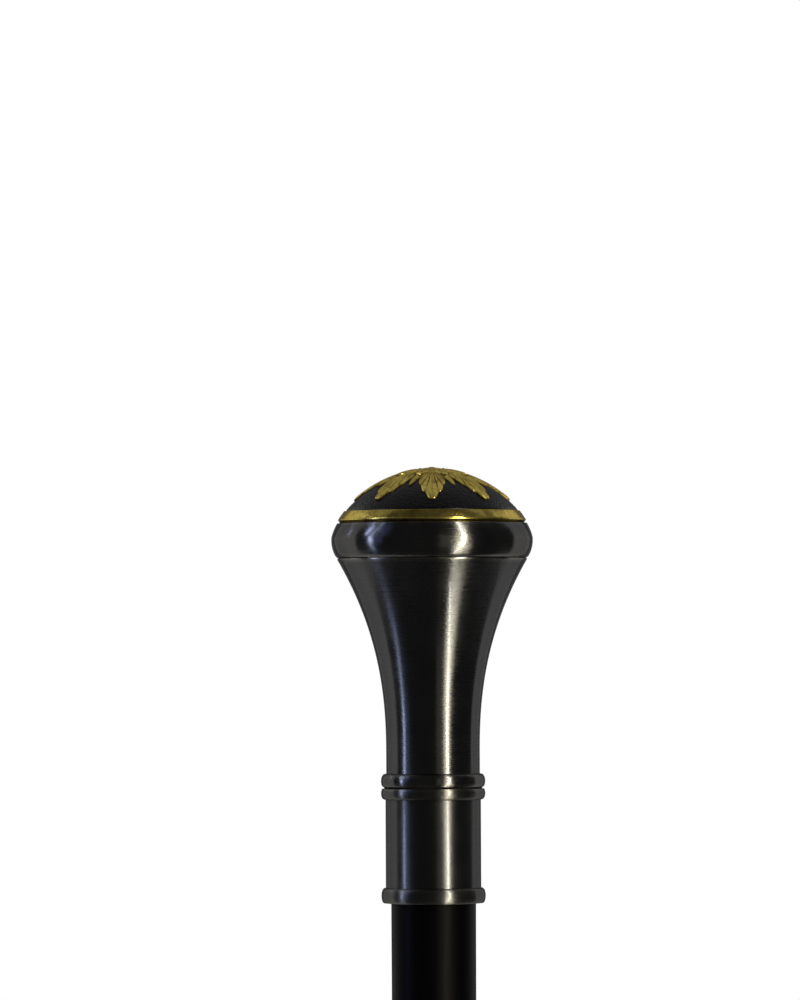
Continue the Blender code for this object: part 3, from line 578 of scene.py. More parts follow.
def bends(profile):
    """How much a profile bulges near each point, from -1 in a hollow corner to 1 on a proud one: its
    turning angles spread over a short reach along it."""
    step = np.roll(profile, -1, axis=0) - profile
    length = np.maximum(np.linalg.norm(step, axis=1), 1e-9)
    heading = np.arctan2(step[:, 1], step[:, 0])
    turn = (heading - np.roll(heading, 1) + np.pi) % (2 * np.pi) - np.pi
    turn[profile[:, 0] <= 0] = 0.0
    place = np.cumsum(length) - length
    gap = np.abs(place[:, None] - place[None, :])
    return np.clip((np.exp(-((gap / WEAR_REACH) ** 2)) @ turn) / WEAR_TURN, -1, 1)


def turned(name, profile, base, finish, slot, body, *nodes, columns=COLUMNS, tarnish=0.0):
    """A lathe-turned piece: its eased profile of (radius, height) points is carried round the axis,
    standing at height base. A profile that starts on the axis ends there too, and any other is closed on
    itself. Tarnish is the least that any part of it counts as a hollow."""
    profile = eased(np.concatenate([np.atleast_2d(part) for part in profile]).astype(float))
    points = lathe(profile[:, 0], profile[:, 1] + base, around(columns))
    faces = quads(len(profile), columns, profile[0, 0] > 0)
    bulge = np.repeat(bends(profile), columns)
    # Proud edges get a wear level, which black nickel also shows as a painted highlight; hollow corners get
    # a hollow level.
    levels = {"wear": np.clip(bulge, 0, 1), "hollow": np.clip(-bulge, tarnish, 1)}
    piece(name, points, faces, finish, slot, body, *nodes, **levels)


def bead(radius, proud, low, high, cut_low=0.0, cut_high=0.0):
    """A half-round bead on a tube: it stands proud by a power of the sine of an angle that runs over the
    half round, less the degrees cut off its lower and upper edge as crisp seats."""
    start = math.radians(cut_low)
    end = math.pi - math.radians(cut_high)
    angle = np.linspace(start, end, BEAD_STEPS)
    share = (math.cos(start) - np.cos(angle)) / (math.cos(start) - math.cos(end))
    swell = np.clip(np.sin(angle), 0, 1) ** BEAD_FULLNESS
    return pairs(radius + proud * swell, low + (high - low) * share)


def scribed(radius, middle, width, depth):
    """A shallow round-bottomed groove in a tube: a sine dip about its middle height."""
    run = np.linspace(-1, 1, 9)
    return pairs(radius - depth * np.cos(run * np.pi / 2), middle + run * width / 2)


def rubber_tip(rubber):
    """Flared boot with a grooved sole, three moulded ring grooves and a rolled lip; the flare is a cosine
    slope."""
    shank = SOLE_RADIUS - SOLE_FLARE
    sole = [(0, 0)]
    pitch = (SOLE_RADIUS - SOLE_EDGE - SOLE_PAD_RADIUS) / 2
    for inner in (SOLE_PAD_RADIUS, SOLE_PAD_RADIUS + pitch):
        outer = inner + SOLE_GROOVE_WIDTH
        sole += [(inner, 0), (inner, SOLE_GROOVE_DEPTH), (outer, SOLE_GROOVE_DEPTH), (outer, 0)]
    sole += [(SOLE_RADIUS - SOLE_EDGE, 0), (SOLE_RADIUS, SOLE_EDGE)]
    run = np.linspace(0, 1, 24)
    flare = pairs(shank + SOLE_FLARE * (1 + np.cos(np.pi * run)) / 2, SOLE_BAND + SOLE_FLARE_HEIGHT * run)
    rings = [scribed(shank, middle, TIP_RING_WIDTH, TIP_RING_DEPTH) for middle in TIP_RING_HEIGHTS]
    lip = bead(shank, TIP_LIP_PROUD, TIP_HEIGHT - TIP_LIP_HEIGHT, TIP_HEIGHT, cut_high=SEAT_CUT)
    socket_radius = FERRULE_RADIUS + FIT_GAP
    socket = [(socket_radius, TIP_HEIGHT), (socket_radius, SOLE_THICKNESS), (0, SOLE_THICKNESS)]
    turned("tip_boot", [sole, flare, *rings, lip, socket], 0, rubber, "tip_rubber", "stick", "rubber_tip")


def ferrule(metal):
    """Closed cup on the foot of the shaft, with a bead round its mouth and two scribed lines under it."""
    bore = FERRULE_RADIUS - FERRULE_WALL
    lines = [
        scribed(FERRULE_RADIUS, FERRULE_LENGTH - drop, FERRULE_LINE_WIDTH, FERRULE_LINE_DEPTH)
        for drop in FERRULE_LINE_DROPS[::-1]
    ]
    mouth = FERRULE_LENGTH - FERRULE_BEAD_HEIGHT
    ring = bead(FERRULE_RADIUS, FERRULE_BEAD_PROUD, mouth, FERRULE_LENGTH, cut_high=FOOT_CUT)
    foot = [(0, 0), (FERRULE_RADIUS - FERRULE_EDGE, 0), (FERRULE_RADIUS, FERRULE_EDGE)]
    inside = [(bore, FERRULE_LENGTH), (bore, FERRULE_FLOOR), (0, FERRULE_FLOOR)]
    profile = [foot, *lines, ring, inside]
    turned("foot_ferrule", profile, low_of("ferrule"), metal, "gunmetal", "stick", "ferrule")


def brad(metal):
    """Round-headed nail lying along +Y: a pointed shank and a head like half an ellipse."""
    turn = np.linspace(0, np.pi / 2, 9)
    head = pairs(BRAD_HEAD_RADIUS * np.cos(turn), BRAD_LENGTH + BRAD_HEAD_HEIGHT * np.sin(turn))
    head[-1, 0] = 0.0
    shank = [(0, 0), (BRAD_RADIUS, BRAD_RADIUS), (BRAD_RADIUS, BRAD_LENGTH)]
    profile = eased(np.concatenate([shank, head]), BRAD_EDGE)
    points = lathe(profile[:, 0], profile[:, 1], around(BRAD_COLUMNS))
    x, across, along = np.moveaxis(points, -1, 0)
    low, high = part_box("ferrule_brad")
    level = (low.z + high.z) / 2 / MM
    points = np.stack([x, along + low.y / MM, level - across], axis=-1)
    bulge = np.repeat(np.clip(bends(profile), 0, 1), BRAD_COLUMNS)
    faces = quads(len(profile), BRAD_COLUMNS, False)
    piece("ferrule_nail", points, faces, metal, "gunmetal", "stick", "ferrule_brad", wear=bulge)


def shaft(wood):
    """Straight taper of lacquered wood, with a tenon for the ferrule and a pilot bore for the stud."""
    foot = low_of("shaft")
    shoulder = high_of("ferrule") + FIT_GAP - foot
    mouth = low_of("collar") - foot
    top = high_of("shaft") - foot
    tenon = FERRULE_RADIUS - FERRULE_WALL - FIT_GAP
    bore = WOOD_THREAD_RADIUS + FIT_GAP
    bore_floor = low_of("stud") - FIT_GAP - foot
    end = [(0, 0), (tenon - TENON_EDGE, 0), (tenon, TENON_EDGE), (tenon, shoulder)]
    taper = [(FERRULE_RADIUS, shoulder), (SHAFT_TOP_RADIUS, mouth), (SHAFT_TOP_RADIUS, top)]
    pilot = [(bore, top), (bore, bore_floor), (0, bore_floor)]
    turned("shaft_wood", [end, taper, pilot], foot, wood, "lacquered_wood", "stick", "shaft")


def collar(metal):
    """Inverted cup over the end of the shaft, with a bead round each end."""
    foot = bead(COLLAR_RADIUS, BEAD_PROUD, 0, COLLAR_FOOT_BEAD, cut_low=FOOT_CUT)
    top_foot = COLLAR_HEIGHT - COLLAR_TOP_BEAD
    top = bead(COLLAR_RADIUS, BEAD_PROUD, top_foot, COLLAR_HEIGHT, cut_high=SEAT_CUT)
    bore = SHAFT_TOP_RADIUS + FIT_GAP
    under = COLLAR_HEIGHT - COLLAR_END_WALL
    inside = [(STUD_HOLE_RADIUS, COLLAR_HEIGHT), (STUD_HOLE_RADIUS, under), (bore, under), (bore, 0)]
    turned("collar_tube", [foot, top, inside], low_of("collar"), metal, "gunmetal", "stick", "collar")


def thread_cut(height, angles, pitch, depth, crest, root):
    """How deep a right-hand thread's flank lies under its crest: the thread's depth times one less a
    triangle wave of height over pitch less the turn, cut off flat on the crest and in the root."""
    phase = height[:, None] / pitch - angles / (2 * np.pi)
    wave = np.abs(2 * (phase % 1.0) - 1)
    return depth * (1 - np.clip((wave - root) / (1 - crest - root), 0, 1))


def stud(steel):
    """Hanger bolt: a pointed wood screw below its shoulder, and a machine thread with a chamfered end
    above."""
    foot = low_of("stud")
    shoulder = high_of("shaft") + FIT_GAP - foot
    length = high_of("stud") - foot
    angles = around(SMALL_COLUMNS)
    height = np.linspace(0, length, int(length / THREAD_ROW))
    point = WOOD_THREAD_RADIUS * np.minimum(height / STUD_POINT, 1)
    wood = np.minimum(WOOD_THREAD_RADIUS - thread_cut(height, angles, *WOOD_THREAD), point[:, None])
    chamfer = STUD_RADIUS - STUD_EDGE + (length - height)
    machine = np.minimum(STUD_RADIUS - thread_cut(height, angles, *STUD_THREAD), chamfer[:, None])
    radius = np.where((height < shoulder)[:, None], wood, machine)
    radius = np.concatenate([radius, np.zeros((1, SMALL_COLUMNS))])
    height = np.append(height, length)
    points = lathe(radius, height + foot, angles)
    faces = quads(len(height), SMALL_COLUMNS, False)
    piece("threaded_stud", points, faces, steel, "steel", "stick", "stud")


def stud_nut(steel):
    """Hexagon nut: each row's radius is the smaller of the hexagon's and of a shallow cone at each end."""
    base = low_of("stud_nut")
    height = high_of("stud_nut") - base
    angles = around(NUT_COLUMNS)
    sector = (angles + np.pi / 6) % (np.pi / 3) - np.pi / 6
    flat = NUT_ACROSS_FLATS / 2 / np.cos(sector)
    ends = np.linspace(0, NUT_END, 6) ** NUT_END_POWER
    rows = np.concatenate([ends, height - ends[::-1]])
    nearest = np.minimum(rows, height - rows)
    cone = NUT_ACROSS_FLATS / 2 * NUT_FACE_SHARE + nearest * math.sqrt(3)
    outside = np.minimum(flat[None, :], cone[:, None])
    wide = STUD_HOLE_RADIUS + NUT_EDGE
    mouth = np.array([wide, STUD_HOLE_RADIUS, STUD_HOLE_RADIUS, wide])
    levels = np.array([height, height - NUT_EDGE, NUT_EDGE, 0.0])
    radius = np.concatenate([outside, np.repeat(mouth[:, None], NUT_COLUMNS, axis=1)])
    points = lathe(radius, np.concatenate([rows, levels]) + base, angles)
    faces = quads(len(radius), NUT_COLUMNS, True)
    piece("stud_hexagon", points, faces, steel, "steel", "stick", "stud_nut")


def stud_washer(steel):
    """Flat ring with eased edges."""
    base = low_of("stud_washer")
    top = high_of("stud_washer") - base
    profile = [(STUD_HOLE_RADIUS, 0), (STUD_WASHER_RADIUS, 0)]
    profile += [(STUD_WASHER_RADIUS, top), (STUD_HOLE_RADIUS, top)]
    turned("stud_ring", [profile], base, steel, "steel", "stick", "stud_washer", columns=NUT_COLUMNS)


def fibre_ring(fibre):
    """Punched ring whose thin flange lies on the collar and closes the parting gap; there its near-black is
    partly the fibre's own colour and partly painted shade for the dark parting line. The flange's edge
    slants in and down. The ring stands a little lower than its CAD node."""
    low = low_of("seat_washer") - SEAT_SINK
    top = high_of("seat_washer") - low
    bore = NUT_RECESS_RADIUS + FIT_GAP
    flange_foot = SEAT_FLANGE_RADIUS - SEAT_FLANGE_SLANT
    profile = [(bore, 0), (flange_foot, 0), (SEAT_FLANGE_RADIUS, SEAT_FLANGE_THICKNESS)]
    profile += [(SEAT_WASHER_RADIUS, SEAT_FLANGE_THICKNESS), (SEAT_WASHER_RADIUS, top), (bore, top)]
    turned("fibre_ring", [profile], low, fibre, "fibre", "seat", "seat_washer")


def grip_radius(height):
    """Outer radius of the grip: a straight neck that flares to the mouth as a power curve."""
    run = np.clip((height - NECK_HEIGHT) / (GRIP_HEIGHT - NECK_HEIGHT), 0, 1)
    return NECK_RADIUS + (MOUTH_RADIUS - NECK_RADIUS) * run**GRIP_FLARE_POWER


def grip(metal):
    """Hollow flared casting with a bead at its foot and a rounded lip at its mouth."""
    base = low_of("grip")
    foot = bead(NECK_RADIUS, GRIP_BEAD_PROUD, 0, GRIP_BEAD, cut_low=SEAT_CUT)
    height = np.linspace(NECK_HEIGHT - 2, GRIP_HEIGHT - LIP_EDGE, 72)
    outside = pairs(grip_radius(height), height)
    corner = np.array((MOUTH_RADIUS, GRIP_HEIGHT))
    lip = bezier(outside[-1], corner, corner - (LIP_EDGE, 0), np.linspace(0, 1, 9)[:, None])
    seat = SPIGOT_RADIUS + FIT_GAP
    seat_floor = GRIP_HEIGHT - SPIGOT_DEPTH - FIT_GAP
    boss_top = high_of("thread_insert") - INSERT_FLANGE_THICKNESS - FIT_GAP - base
    inner_height = np.linspace(seat_floor, boss_top, 20)
    inner = np.minimum(grip_radius(inner_height), seat) - GRIP_WALL
    insert_seat = INSERT_RADIUS + FIT_GAP
    recess = low_of("thread_insert") - FIT_GAP - base
    washer_seat = SEAT_WASHER_RADIUS + FIT_GAP
    washer_top = high_of("seat_washer") + FIT_GAP - base
    below = [(insert_seat, boss_top), (insert_seat, recess), (NUT_RECESS_RADIUS, recess)]
    below += [(NUT_RECESS_RADIUS, washer_top), (washer_seat, washer_top), (washer_seat, 0)]
    mouth = [(seat, GRIP_HEIGHT), (seat, seat_floor)]
    profile = [foot, outside[:-1], lip, mouth, pairs(inner, inner_height), below]
    turned("grip_casting", profile, base, metal, "gunmetal", "handle", "grip")


def insert(brass):
    """Flanged bush whose bore is a right-hand thread cut outwards from its crest."""
    base = low_of("thread_insert")
    length = high_of("thread_insert") - base
    angles = around(SMALL_COLUMNS)
    height = np.linspace(length, 0, int(length / THREAD_ROW))
    pitch, depth, crest, root = STUD_THREAD
    bore = STUD_HOLE_RADIUS + thread_cut(height, angles, pitch, depth, root, crest)
    barrel = [(INSERT_RADIUS - INSERT_EDGE, 0), (INSERT_RADIUS, INSERT_EDGE)]
    barrel += [(INSERT_RADIUS, INSERT_LENGTH)]
    flange = [(INSERT_FLANGE_RADIUS, INSERT_LENGTH), (INSERT_FLANGE_RADIUS, length - INSERT_FLANGE_EDGE)]
    flange += [(INSERT_FLANGE_RADIUS - INSERT_FLANGE_EDGE, length)]
    outside = np.array(barrel + flange)
    radius = np.concatenate([np.repeat(outside[:, :1], SMALL_COLUMNS, axis=1), bore])
    points = lathe(radius, np.concatenate([outside[:, 1], height]) + base, angles)
    faces = quads(len(radius), SMALL_COLUMNS, True)
    piece("threaded_insert", points, faces, brass, "bare_brass", "handle", "thread_insert")


def crown(metal):
    """Bulged band of the knob: its radius drops as a power curve from the belly to the foot, and from the
    shoulder to the top. Under the foot it slants in and down almost to the grip, as a shallow seam."""
    share = np.linspace(1 - SEAM_RISE / CROWN_BELLY, 0, 18)
    radius = KNOB_RADIUS - (KNOB_RADIUS - CROWN_FOOT_RADIUS) * share**CROWN_FOOT_POWER
    lower = pairs(radius, CROWN_BELLY * (1 - share))
    share = np.linspace(0, 1, 18)
    radius = KNOB_RADIUS - CROWN_TOP_DROP * share**CROWN_TOP_POWER
    upper = pairs(radius, CROWN_SHOULDER + (CROWN_HEIGHT - CROWN_SHOULDER) * share)
    bore = SPIGOT_RADIUS - SPIGOT_WALL
    web = CROWN_HEIGHT - CROWN_WEB
    spigot = [(bore, -SPIGOT_DEPTH), (SPIGOT_RADIUS, -SPIGOT_DEPTH), (SPIGOT_RADIUS, -SEAM_DROP)]
    spigot += [(CROWN_FOOT_RADIUS - SEAM_DEPTH, -SEAM_DROP)]
    inside = [(POST_HOLE_RADIUS, CROWN_HEIGHT), (POST_HOLE_RADIUS, web), (bore, web)]
    base = low_of("crown") + SPIGOT_DEPTH
    turned("crown_band", [spigot, lower, upper, inside], base, metal, "gunmetal", "handle", "crown")


def rim(gold):
    """Gilt ring: a foot that slants in under a slim bead, a slanting face swollen a little as a half sine,
    and a narrow top."""
    run = np.linspace(0, 1, 14)
    face_foot = np.array((RIM_RADIUS - RIM_FACE_SETBACK, RIM_UNDERCUT_HEIGHT + RIM_FACE_RISE))
    face_top = np.array((RIM_BORE + RIM_TOP_WIDTH, RIM_HEIGHT))
    face = face_foot + (face_top - face_foot) * run[:, None]
    face += RIM_FACE_SWELL * np.sin(np.pi * run)[:, None] * np.array(RIM_FACE_NORMAL)
    turn = np.linspace(RIM_BEAD_START, RIM_BEAD_END, 9)
    middle = RIM_UNDERCUT_HEIGHT + RIM_BEAD_RADIUS
    radius = RIM_RADIUS + RIM_BEAD_RADIUS * (np.cos(turn) - 1)
    slim_bead = pairs(radius, middle + RIM_BEAD_RADIUS * np.sin(turn))
    foot = [(RIM_RADIUS - RIM_WALL, 0), (RIM_RADIUS - RIM_UNDERCUT_DEPTH, 0)]
    inside = [(RIM_BORE, RIM_HEIGHT), (RIM_BORE, RIM_LIP), (RIM_RADIUS - RIM_WALL, RIM_LIP)]
    profile = [foot, slim_bead, face, inside]
    options = {"columns": RIM_COLUMNS, "tarnish": RIM_TARNISH}
    base = low_of("medallion_rim")
    turned("gilt_rim", profile, base, gold, "gilt", "handle", "medallion_rim", **options)


def grains(x, y):
    """Height of the matted ground, from 0 to 1: round grains, one in each cell of a square grid, shifted
    about in its cell by a fixed mixing of the cell's numbers."""
    column, row = np.floor(x / GRAIN_PITCH), np.floor(y / GRAIN_PITCH)
    nearest = np.full(x.shape, np.inf)
    for i in (-1, 0, 1):
        for j in (-1, 0, 1):
            seed = (column + i) * 12.9898 + (row + j) * 78.233
            shift_x = np.sin(seed) * 43758.5453 % 1.0 - 0.5
            shift_y = np.sin(seed + 39.346) * 24634.6345 % 1.0 - 0.5
            grain_x = (column + i + 0.5 + 2 * GRAIN_SHIFT * shift_x) * GRAIN_PITCH
            grain_y = (row + j + 0.5 + 2 * GRAIN_SHIFT * shift_y) * GRAIN_PITCH
            nearest = np.minimum(nearest, np.hypot(x - grain_x, y - grain_y))
    return np.clip(1 - (nearest / GRAIN_RADIUS) ** 2, 0, 1)


def ground_plate(black):
    """Domed shell: a spherical cap standing out by its grains, a flange, and the cap's plain inside."""
    angles = around(GROUND_COLUMNS)
    reach = math.asin(PLATE_RADIUS / PLATE_SPHERE)
    hidden = math.asin(LEAF_ROOT / PLATE_SPHERE)
    shown = np.linspace(hidden, reach, GROUND_ROWS)
    tilt = np.concatenate([np.linspace(0, hidden, 5)[:-1], shown])[:, None]
    plan = PLATE_SPHERE * np.sin(tilt)
    matting = grains(plan * np.cos(angles), plan * np.sin(angles))
    fade = np.clip((PLATE_RADIUS - plan) / GRAIN_FADE, 0, 1) * (plan > LEAF_ROOT)
    sphere = PLATE_SPHERE + GRAIN_HEIGHT * matting * fade
    skirt = PLATE_RADIUS - PLATE_WALL
    under = PLATE_SPHERE - PLATE_WALL
    inner = np.linspace(math.asin(skirt / under), 0, 12)
    edge = [(PLATE_RADIUS, PLATE_FLANGE), (PLATE_FLANGE_RADIUS, PLATE_FLANGE)]
    edge += [(PLATE_FLANGE_RADIUS, 0), (skirt, 0)]
    plain = np.concatenate([edge, pairs(under * np.sin(inner), PLATE_CENTRE + under * np.cos(inner))])
    across = np.ones(GROUND_COLUMNS)
    radius = np.concatenate([sphere * np.sin(tilt), plain[:, :1] * across])
    height = np.concatenate([PLATE_CENTRE + sphere * np.cos(tilt), plain[:, 1:] * across])
    points = lathe(radius, height + low_of("medallion_plate"), angles)
    faces = quads(len(radius), GROUND_COLUMNS, False)
    piece("matted_ground", points, faces, black, "black_ground", "handle", "medallion_plate")


def rounded(distance, softness):
    """A pillow's rise from 0 at its edge to 1 inside, by an exponential of the distance from the edge."""
    return 1 - np.exp(-np.maximum(distance, 0) / softness)


def ridge(distance, height, width):
    """A soft rib: a height times the bell curve of the distance over the width."""
    return height * np.exp(-((distance / width) ** 2))


def half_leaf_columns():
    """Turn and reach of the spokes over half a leaf and half the dart beside it. The leaf narrows to its
    point as a power curve with scallops along it; spokes crowd where that curve is steep."""
    even = np.linspace(0, LEAF_LOBES - 1, (LEAF_LOBES - 1) * LEAF_STEPS + 1)
    crowded = LEAF_LOBES - np.linspace(1, 0, LEAF_STEPS + 1)[1:] ** CROWDING
    run = np.concatenate([even, crowded]) / LEAF_LOBES
    leaf_reach = LEAF_NOTCH + (LEAF_TIP - LEAF_NOTCH) * (1 - run) ** LEAF_POINT
    leaf_reach = leaf_reach + LEAF_LOBE_DEPTH * np.abs(np.sin(LEAF_LOBES * np.pi * run))
    rise = np.linspace(0, 1, DART_STEPS + 1)[1:] ** CROWDING
    dart_reach = LEAF_NOTCH + DART_LENGTH * rise**LEAF_POINT
    turn = np.concatenate([LEAF_SHARE * run, LEAF_SHARE + (1 - LEAF_SHARE) * rise])
    return turn, np.concatenate([leaf_reach, dart_reach])


def carve(radius, angle, turn, reach, edge):
    """Height of the ornament over the ground over half a leaf. Leaves and darts are pillows with a midrib
    and flutes that fan out from the root into the lobes; petals and beads lie over them."""
    half = np.pi / LEAVES
    off_leaf = radius * np.sin(angle)
    off_dart = radius * np.sin(half - angle)
    along = np.clip((radius - CARVED_FROM) / (reach - CARVED_FROM), 0, 1)
    fan = (FLUTE_FAN + (1 - FLUTE_FAN) * along) ** FLUTE_FAN_POWER
    run = np.clip(turn / LEAF_SHARE / fan, 0, 1)
    swell, softness = PILLOW
    pillow = rounded(edge, softness)
    leaf = LEAF_LEVEL + swell * pillow + FLUTE * np.abs(np.sin(LEAF_LOBES * np.pi * run)) * pillow
    leaf += ridge(off_leaf, *MIDRIB) * (1 - MIDRIB_FADE * along)
    leaf -= ridge(off_leaf - MIDRIB_GROOVE_OFFSET, *MIDRIB_GROOVE) * (1 - along)
    leaf += ridge(off_leaf, *LEAF_TIP_SWELL) * np.clip(along * 5 - 4, 0, 1)
    dart = DART_LEVEL + swell * pillow + ridge(off_dart, *DART_RIB)
    notch = ridge((turn - LEAF_SHARE) * half * radius, *NOTCH_GROOVE)
    height = np.where(turn <= LEAF_SHARE, leaf, dart) - notch * rounded(edge, NOTCH_SOFTNESS)
    swell, softness = PETAL_PILLOW
    for off, (tip, width, level) in zip((off_leaf, off_dart), PETALS):
        share = np.clip((radius - PETAL_ROOT) / (tip - PETAL_ROOT), 0, 1)
        inside = width * np.sqrt(np.sin(np.pi * share)) - off
        petal = level + swell * rounded(inside, softness) + ridge(off, *PETAL_RIB)
        petal -= ridge(off - PETAL_GROOVE_OFFSET, *PETAL_GROOVE)
        height += np.clip(inside / PETAL_EDGE, 0, 1) * np.maximum(petal - height, 0)
    pitch = 2 * half / BEADS_PER_LEAF
    from_bead = (angle + pitch / 2) % pitch - pitch / 2
    gap = np.hypot(radius * np.cos(from_bead) - BEAD_RING_RADIUS, radius * np.sin(from_bead))
    globe = BEAD_LEVEL + BEAD_STRETCH * np.sqrt(np.maximum(BEAD_RADIUS**2 - gap**2, 0))
    trough = ridge(np.maximum(np.abs(radius - BEAD_RING_RADIUS) - BEAD_RADIUS, 0), *TROUGH)
    height = height * (1 - trough) + TROUGH_LEVEL * trough
    return np.where(gap < BEAD_RADIUS, np.maximum(globe, height), height)


def hollows(height):
    """How deep each point lies in a hollow, from 0 to 1: its depth under the surface smoothed by averaging
    each point with its four neighbours, over and over, mirrored at the grid's edges."""
    values = height
    for _ in range(SMOOTHING):
        wide = np.pad(values, 1, mode="reflect")
        values = (2 * values + wide[2:, 1:-1] + wide[:-2, 1:-1] + wide[1:-1, 2:] + wide[1:-1, :-2]) / 6
    return np.clip((values - height) / HOLLOW_DEPTH, 0, 1)


def on_dome(radius, height):
    """Radius and height of points that stand off the dome, along its normal, by a height."""
    scale = 1 + height / PLATE_SPHERE
    return scale * radius, PLATE_CENTRE + scale * np.sqrt(PLATE_SPHERE**2 - radius**2)


def all_round(half_leaf):
    """Columns of a half leaf, mirrored about its midrib and repeated for every leaf."""
    return np.tile(np.concatenate([half_leaf[:, -2:0:-1], half_leaf], axis=1), (1, LEAVES))


def leaf_ornament(gold):
    """Ring of leaves, darts, petals and beads as one closed skin. Its inner rings run from the bore to the
    root circle, and its outer ones lie at shares of the way from there to the outline. One carved half
    leaf is mirrored and repeated."""
    half = np.pi / LEAVES
    turn, reach = half_leaf_columns()
    angle = turn * half
    inner = np.linspace(ORNAMENT_BORE, LEAF_ROOT, INNER_RINGS)[:, None] * np.ones(len(turn))
    share = np.array(OUTER_RINGS)[:, None]
    radius = np.concatenate([inner, LEAF_ROOT + share * (reach - LEAF_ROOT)])
    fine = np.linspace(0, len(turn) - 1, OUTLINE_STEPS * len(turn))
    fine_angle = np.interp(fine, np.arange(len(turn)), angle)
    fine_reach = np.interp(fine, np.arange(len(turn)), reach)
    outline_angle = np.concatenate([fine_angle, -fine_angle, 2 * half - fine_angle])
    outline = np.tile(fine_reach, 3) * np.exp(1j * outline_angle)
    edge = np.abs((radius * np.exp(1j * angle))[..., None] - outline).min(axis=-1)
    top = carve(radius, angle, turn, reach, edge)
    hollow = np.maximum(hollows(top), ridge(edge, 1.0, HOLLOW_EDGE))
    under = np.concatenate([radius[-1:], 0.5 * (LEAF_ROOT + radius[-1:]), inner[-1:], inner[:1]])
    skin = np.concatenate([radius, under])
    stand = np.concatenate([top, np.full(under.shape, UNDERSIDE)])
    hollow = all_round(np.concatenate([hollow, np.ones(under.shape)]))
    sector = np.concatenate([-angle[-2:0:-1], angle])
    angles = (2 * half * np.arange(LEAVES)[:, None] + sector).ravel()
    spread, height = on_dome(all_round(skin), all_round(stand))
    points = lathe(spread, height + low_of("medallion_plate"), angles)
    faces = quads(len(skin), len(angles), True)
    piece("leaf_ornament", points, faces, gold, "gilt", "handle", "medallion_relief", hollow=hollow)


def boss(gold):
    """Button at the middle of the ornament: a low dome fluted as eight petals, with a pip on top."""
    angles = around(BOSS_COLUMNS)
    radius = np.linspace(0, BOSS_RADIUS, 30)[:, None]
    share = radius / BOSS_RADIUS
    rise = BOSS_HEIGHT - PIP_PROUD - BOSS_RIM
    dome = BOSS_RIM + rise * np.sqrt(np.clip(1 - share**BOSS_POWER, 0, 1))
    flutes = 1 - np.abs(np.cos(BOSS_FLUTES / 2 * angles))
    fluted = dome - BOSS_FLUTE * flutes * np.sin(np.pi * share)
    pip = BOSS_HEIGHT - PIP_SINK + PIP_STRETCH * np.sqrt(np.maximum(PIP_RADIUS**2 - radius**2, 0))
    height = np.where(radius < PIP_RADIUS, np.maximum(pip, fluted - PIP_GROOVE), fluted)
    rim_row = np.full((1, BOSS_COLUMNS), BOSS_RADIUS)
    plan = np.concatenate([radius * np.ones(BOSS_COLUMNS), rim_row, 0 * rim_row])
    stand = np.concatenate([height, np.full((2, BOSS_COLUMNS), BOSS_UNDERSIDE)])
    hollow = np.concatenate([hollows(height), np.ones((2, BOSS_COLUMNS))])
    spread, level = on_dome(plan, stand)
    points = lathe(spread, level + low_of("medallion_plate"), angles)
    faces = quads(len(plan), BOSS_COLUMNS, False)
    piece("ornament_boss", points, faces, gold, "gilt", "handle", hollow=hollow)


def camera():
    """Long lens nearly level with the grip's neck, looking up a little and rolled by a hair."""
    data = bpy.data.cameras.new("camera")
    data.lens = LENS
    data.sensor_width = 36.0
    data.clip_start = 0.05
    data.clip_end = 50.0
    view = linked("camera", data)
    view.location = CAMERA_PLACE
    view.rotation_euler = (math.radians(90 + CAMERA_TILT), math.radians(CAMERA_ROLL), 0)
    bpy.context.scene.camera = view


def towards(azimuth, elevation, distance):
    """Point at an azimuth, to the right of the camera's side, and an elevation in degrees from the knob."""
    level = distance * math.cos(math.radians(elevation))
    turn = math.radians(azimuth)
    height = KNOB_LEVEL + distance * math.sin(math.radians(elevation))
    return level * math.sin(turn), -level * math.cos(turn), height


def daylight():
    """Soft even light from high on the right, for all but the metal's mirror images."""
    data = bpy.data.lights.new("daylight", "SUN")
    data.energy = SUN_LEVEL * math.pi
    data.angle = math.radians(SUN_SPREAD)
    sun = linked("daylight", data, "glossy")
    sun.rotation_euler = (math.radians(90 - SUN_ELEVATION), 0, math.radians(SUN_AZIMUTH))


def softbox(name, azimuth, elevation, distance, width, height, radiance, colour, lean=0.0):
    """Area lamp that faces the knob, mirrored in its metal alone. Its power follows from its area and
    radiance, and its top can lean to the right by some degrees."""
    data = bpy.data.lights.new(name, "AREA")
    data.shape = "RECTANGLE"
    data.size = width
    data.size_y = height
    data.energy = 4 * width * height * radiance
    data.color = linear(colour)[:3]
    lamp = linked(name, data, "camera", "diffuse")
    lamp.location = towards(azimuth, elevation, distance)
    facing = Euler((math.pi / 2 - math.radians(elevation), 0, math.radians(azimuth))).to_matrix()
    lamp.rotation_euler = (facing @ Matrix.Rotation(-math.radians(lean), 3, "Z")).to_euler()


def studio_world():
    """White backdrop for the camera, polished metal and glass; a plain ambient level for the rest."""
    world = bpy.data.worlds.new("pale_studio")
    world.use_nodes = True
    tree = world.node_tree
    tree.nodes.clear()
    path = node(tree, "LightPath", {}).outputs
    seen = node(tree, "Math", {0: path["Is Camera Ray"], 1: path["Is Glossy Ray"]}, operation="ADD")
    seen = node(tree, "Math", {0: seen, 1: path["Is Transmission Ray"]}, operation="ADD", use_clamp=True)
    strength = node(tree, "Mix", {0: seen, 2: AMBIENT, 3: 1.0}, data_type="FLOAT")
    light = node(tree, "Background", {"Color": "#ffffff", "Strength": strength})
    node(tree, "OutputWorld", {"Surface": light})
    bpy.context.scene.world = world


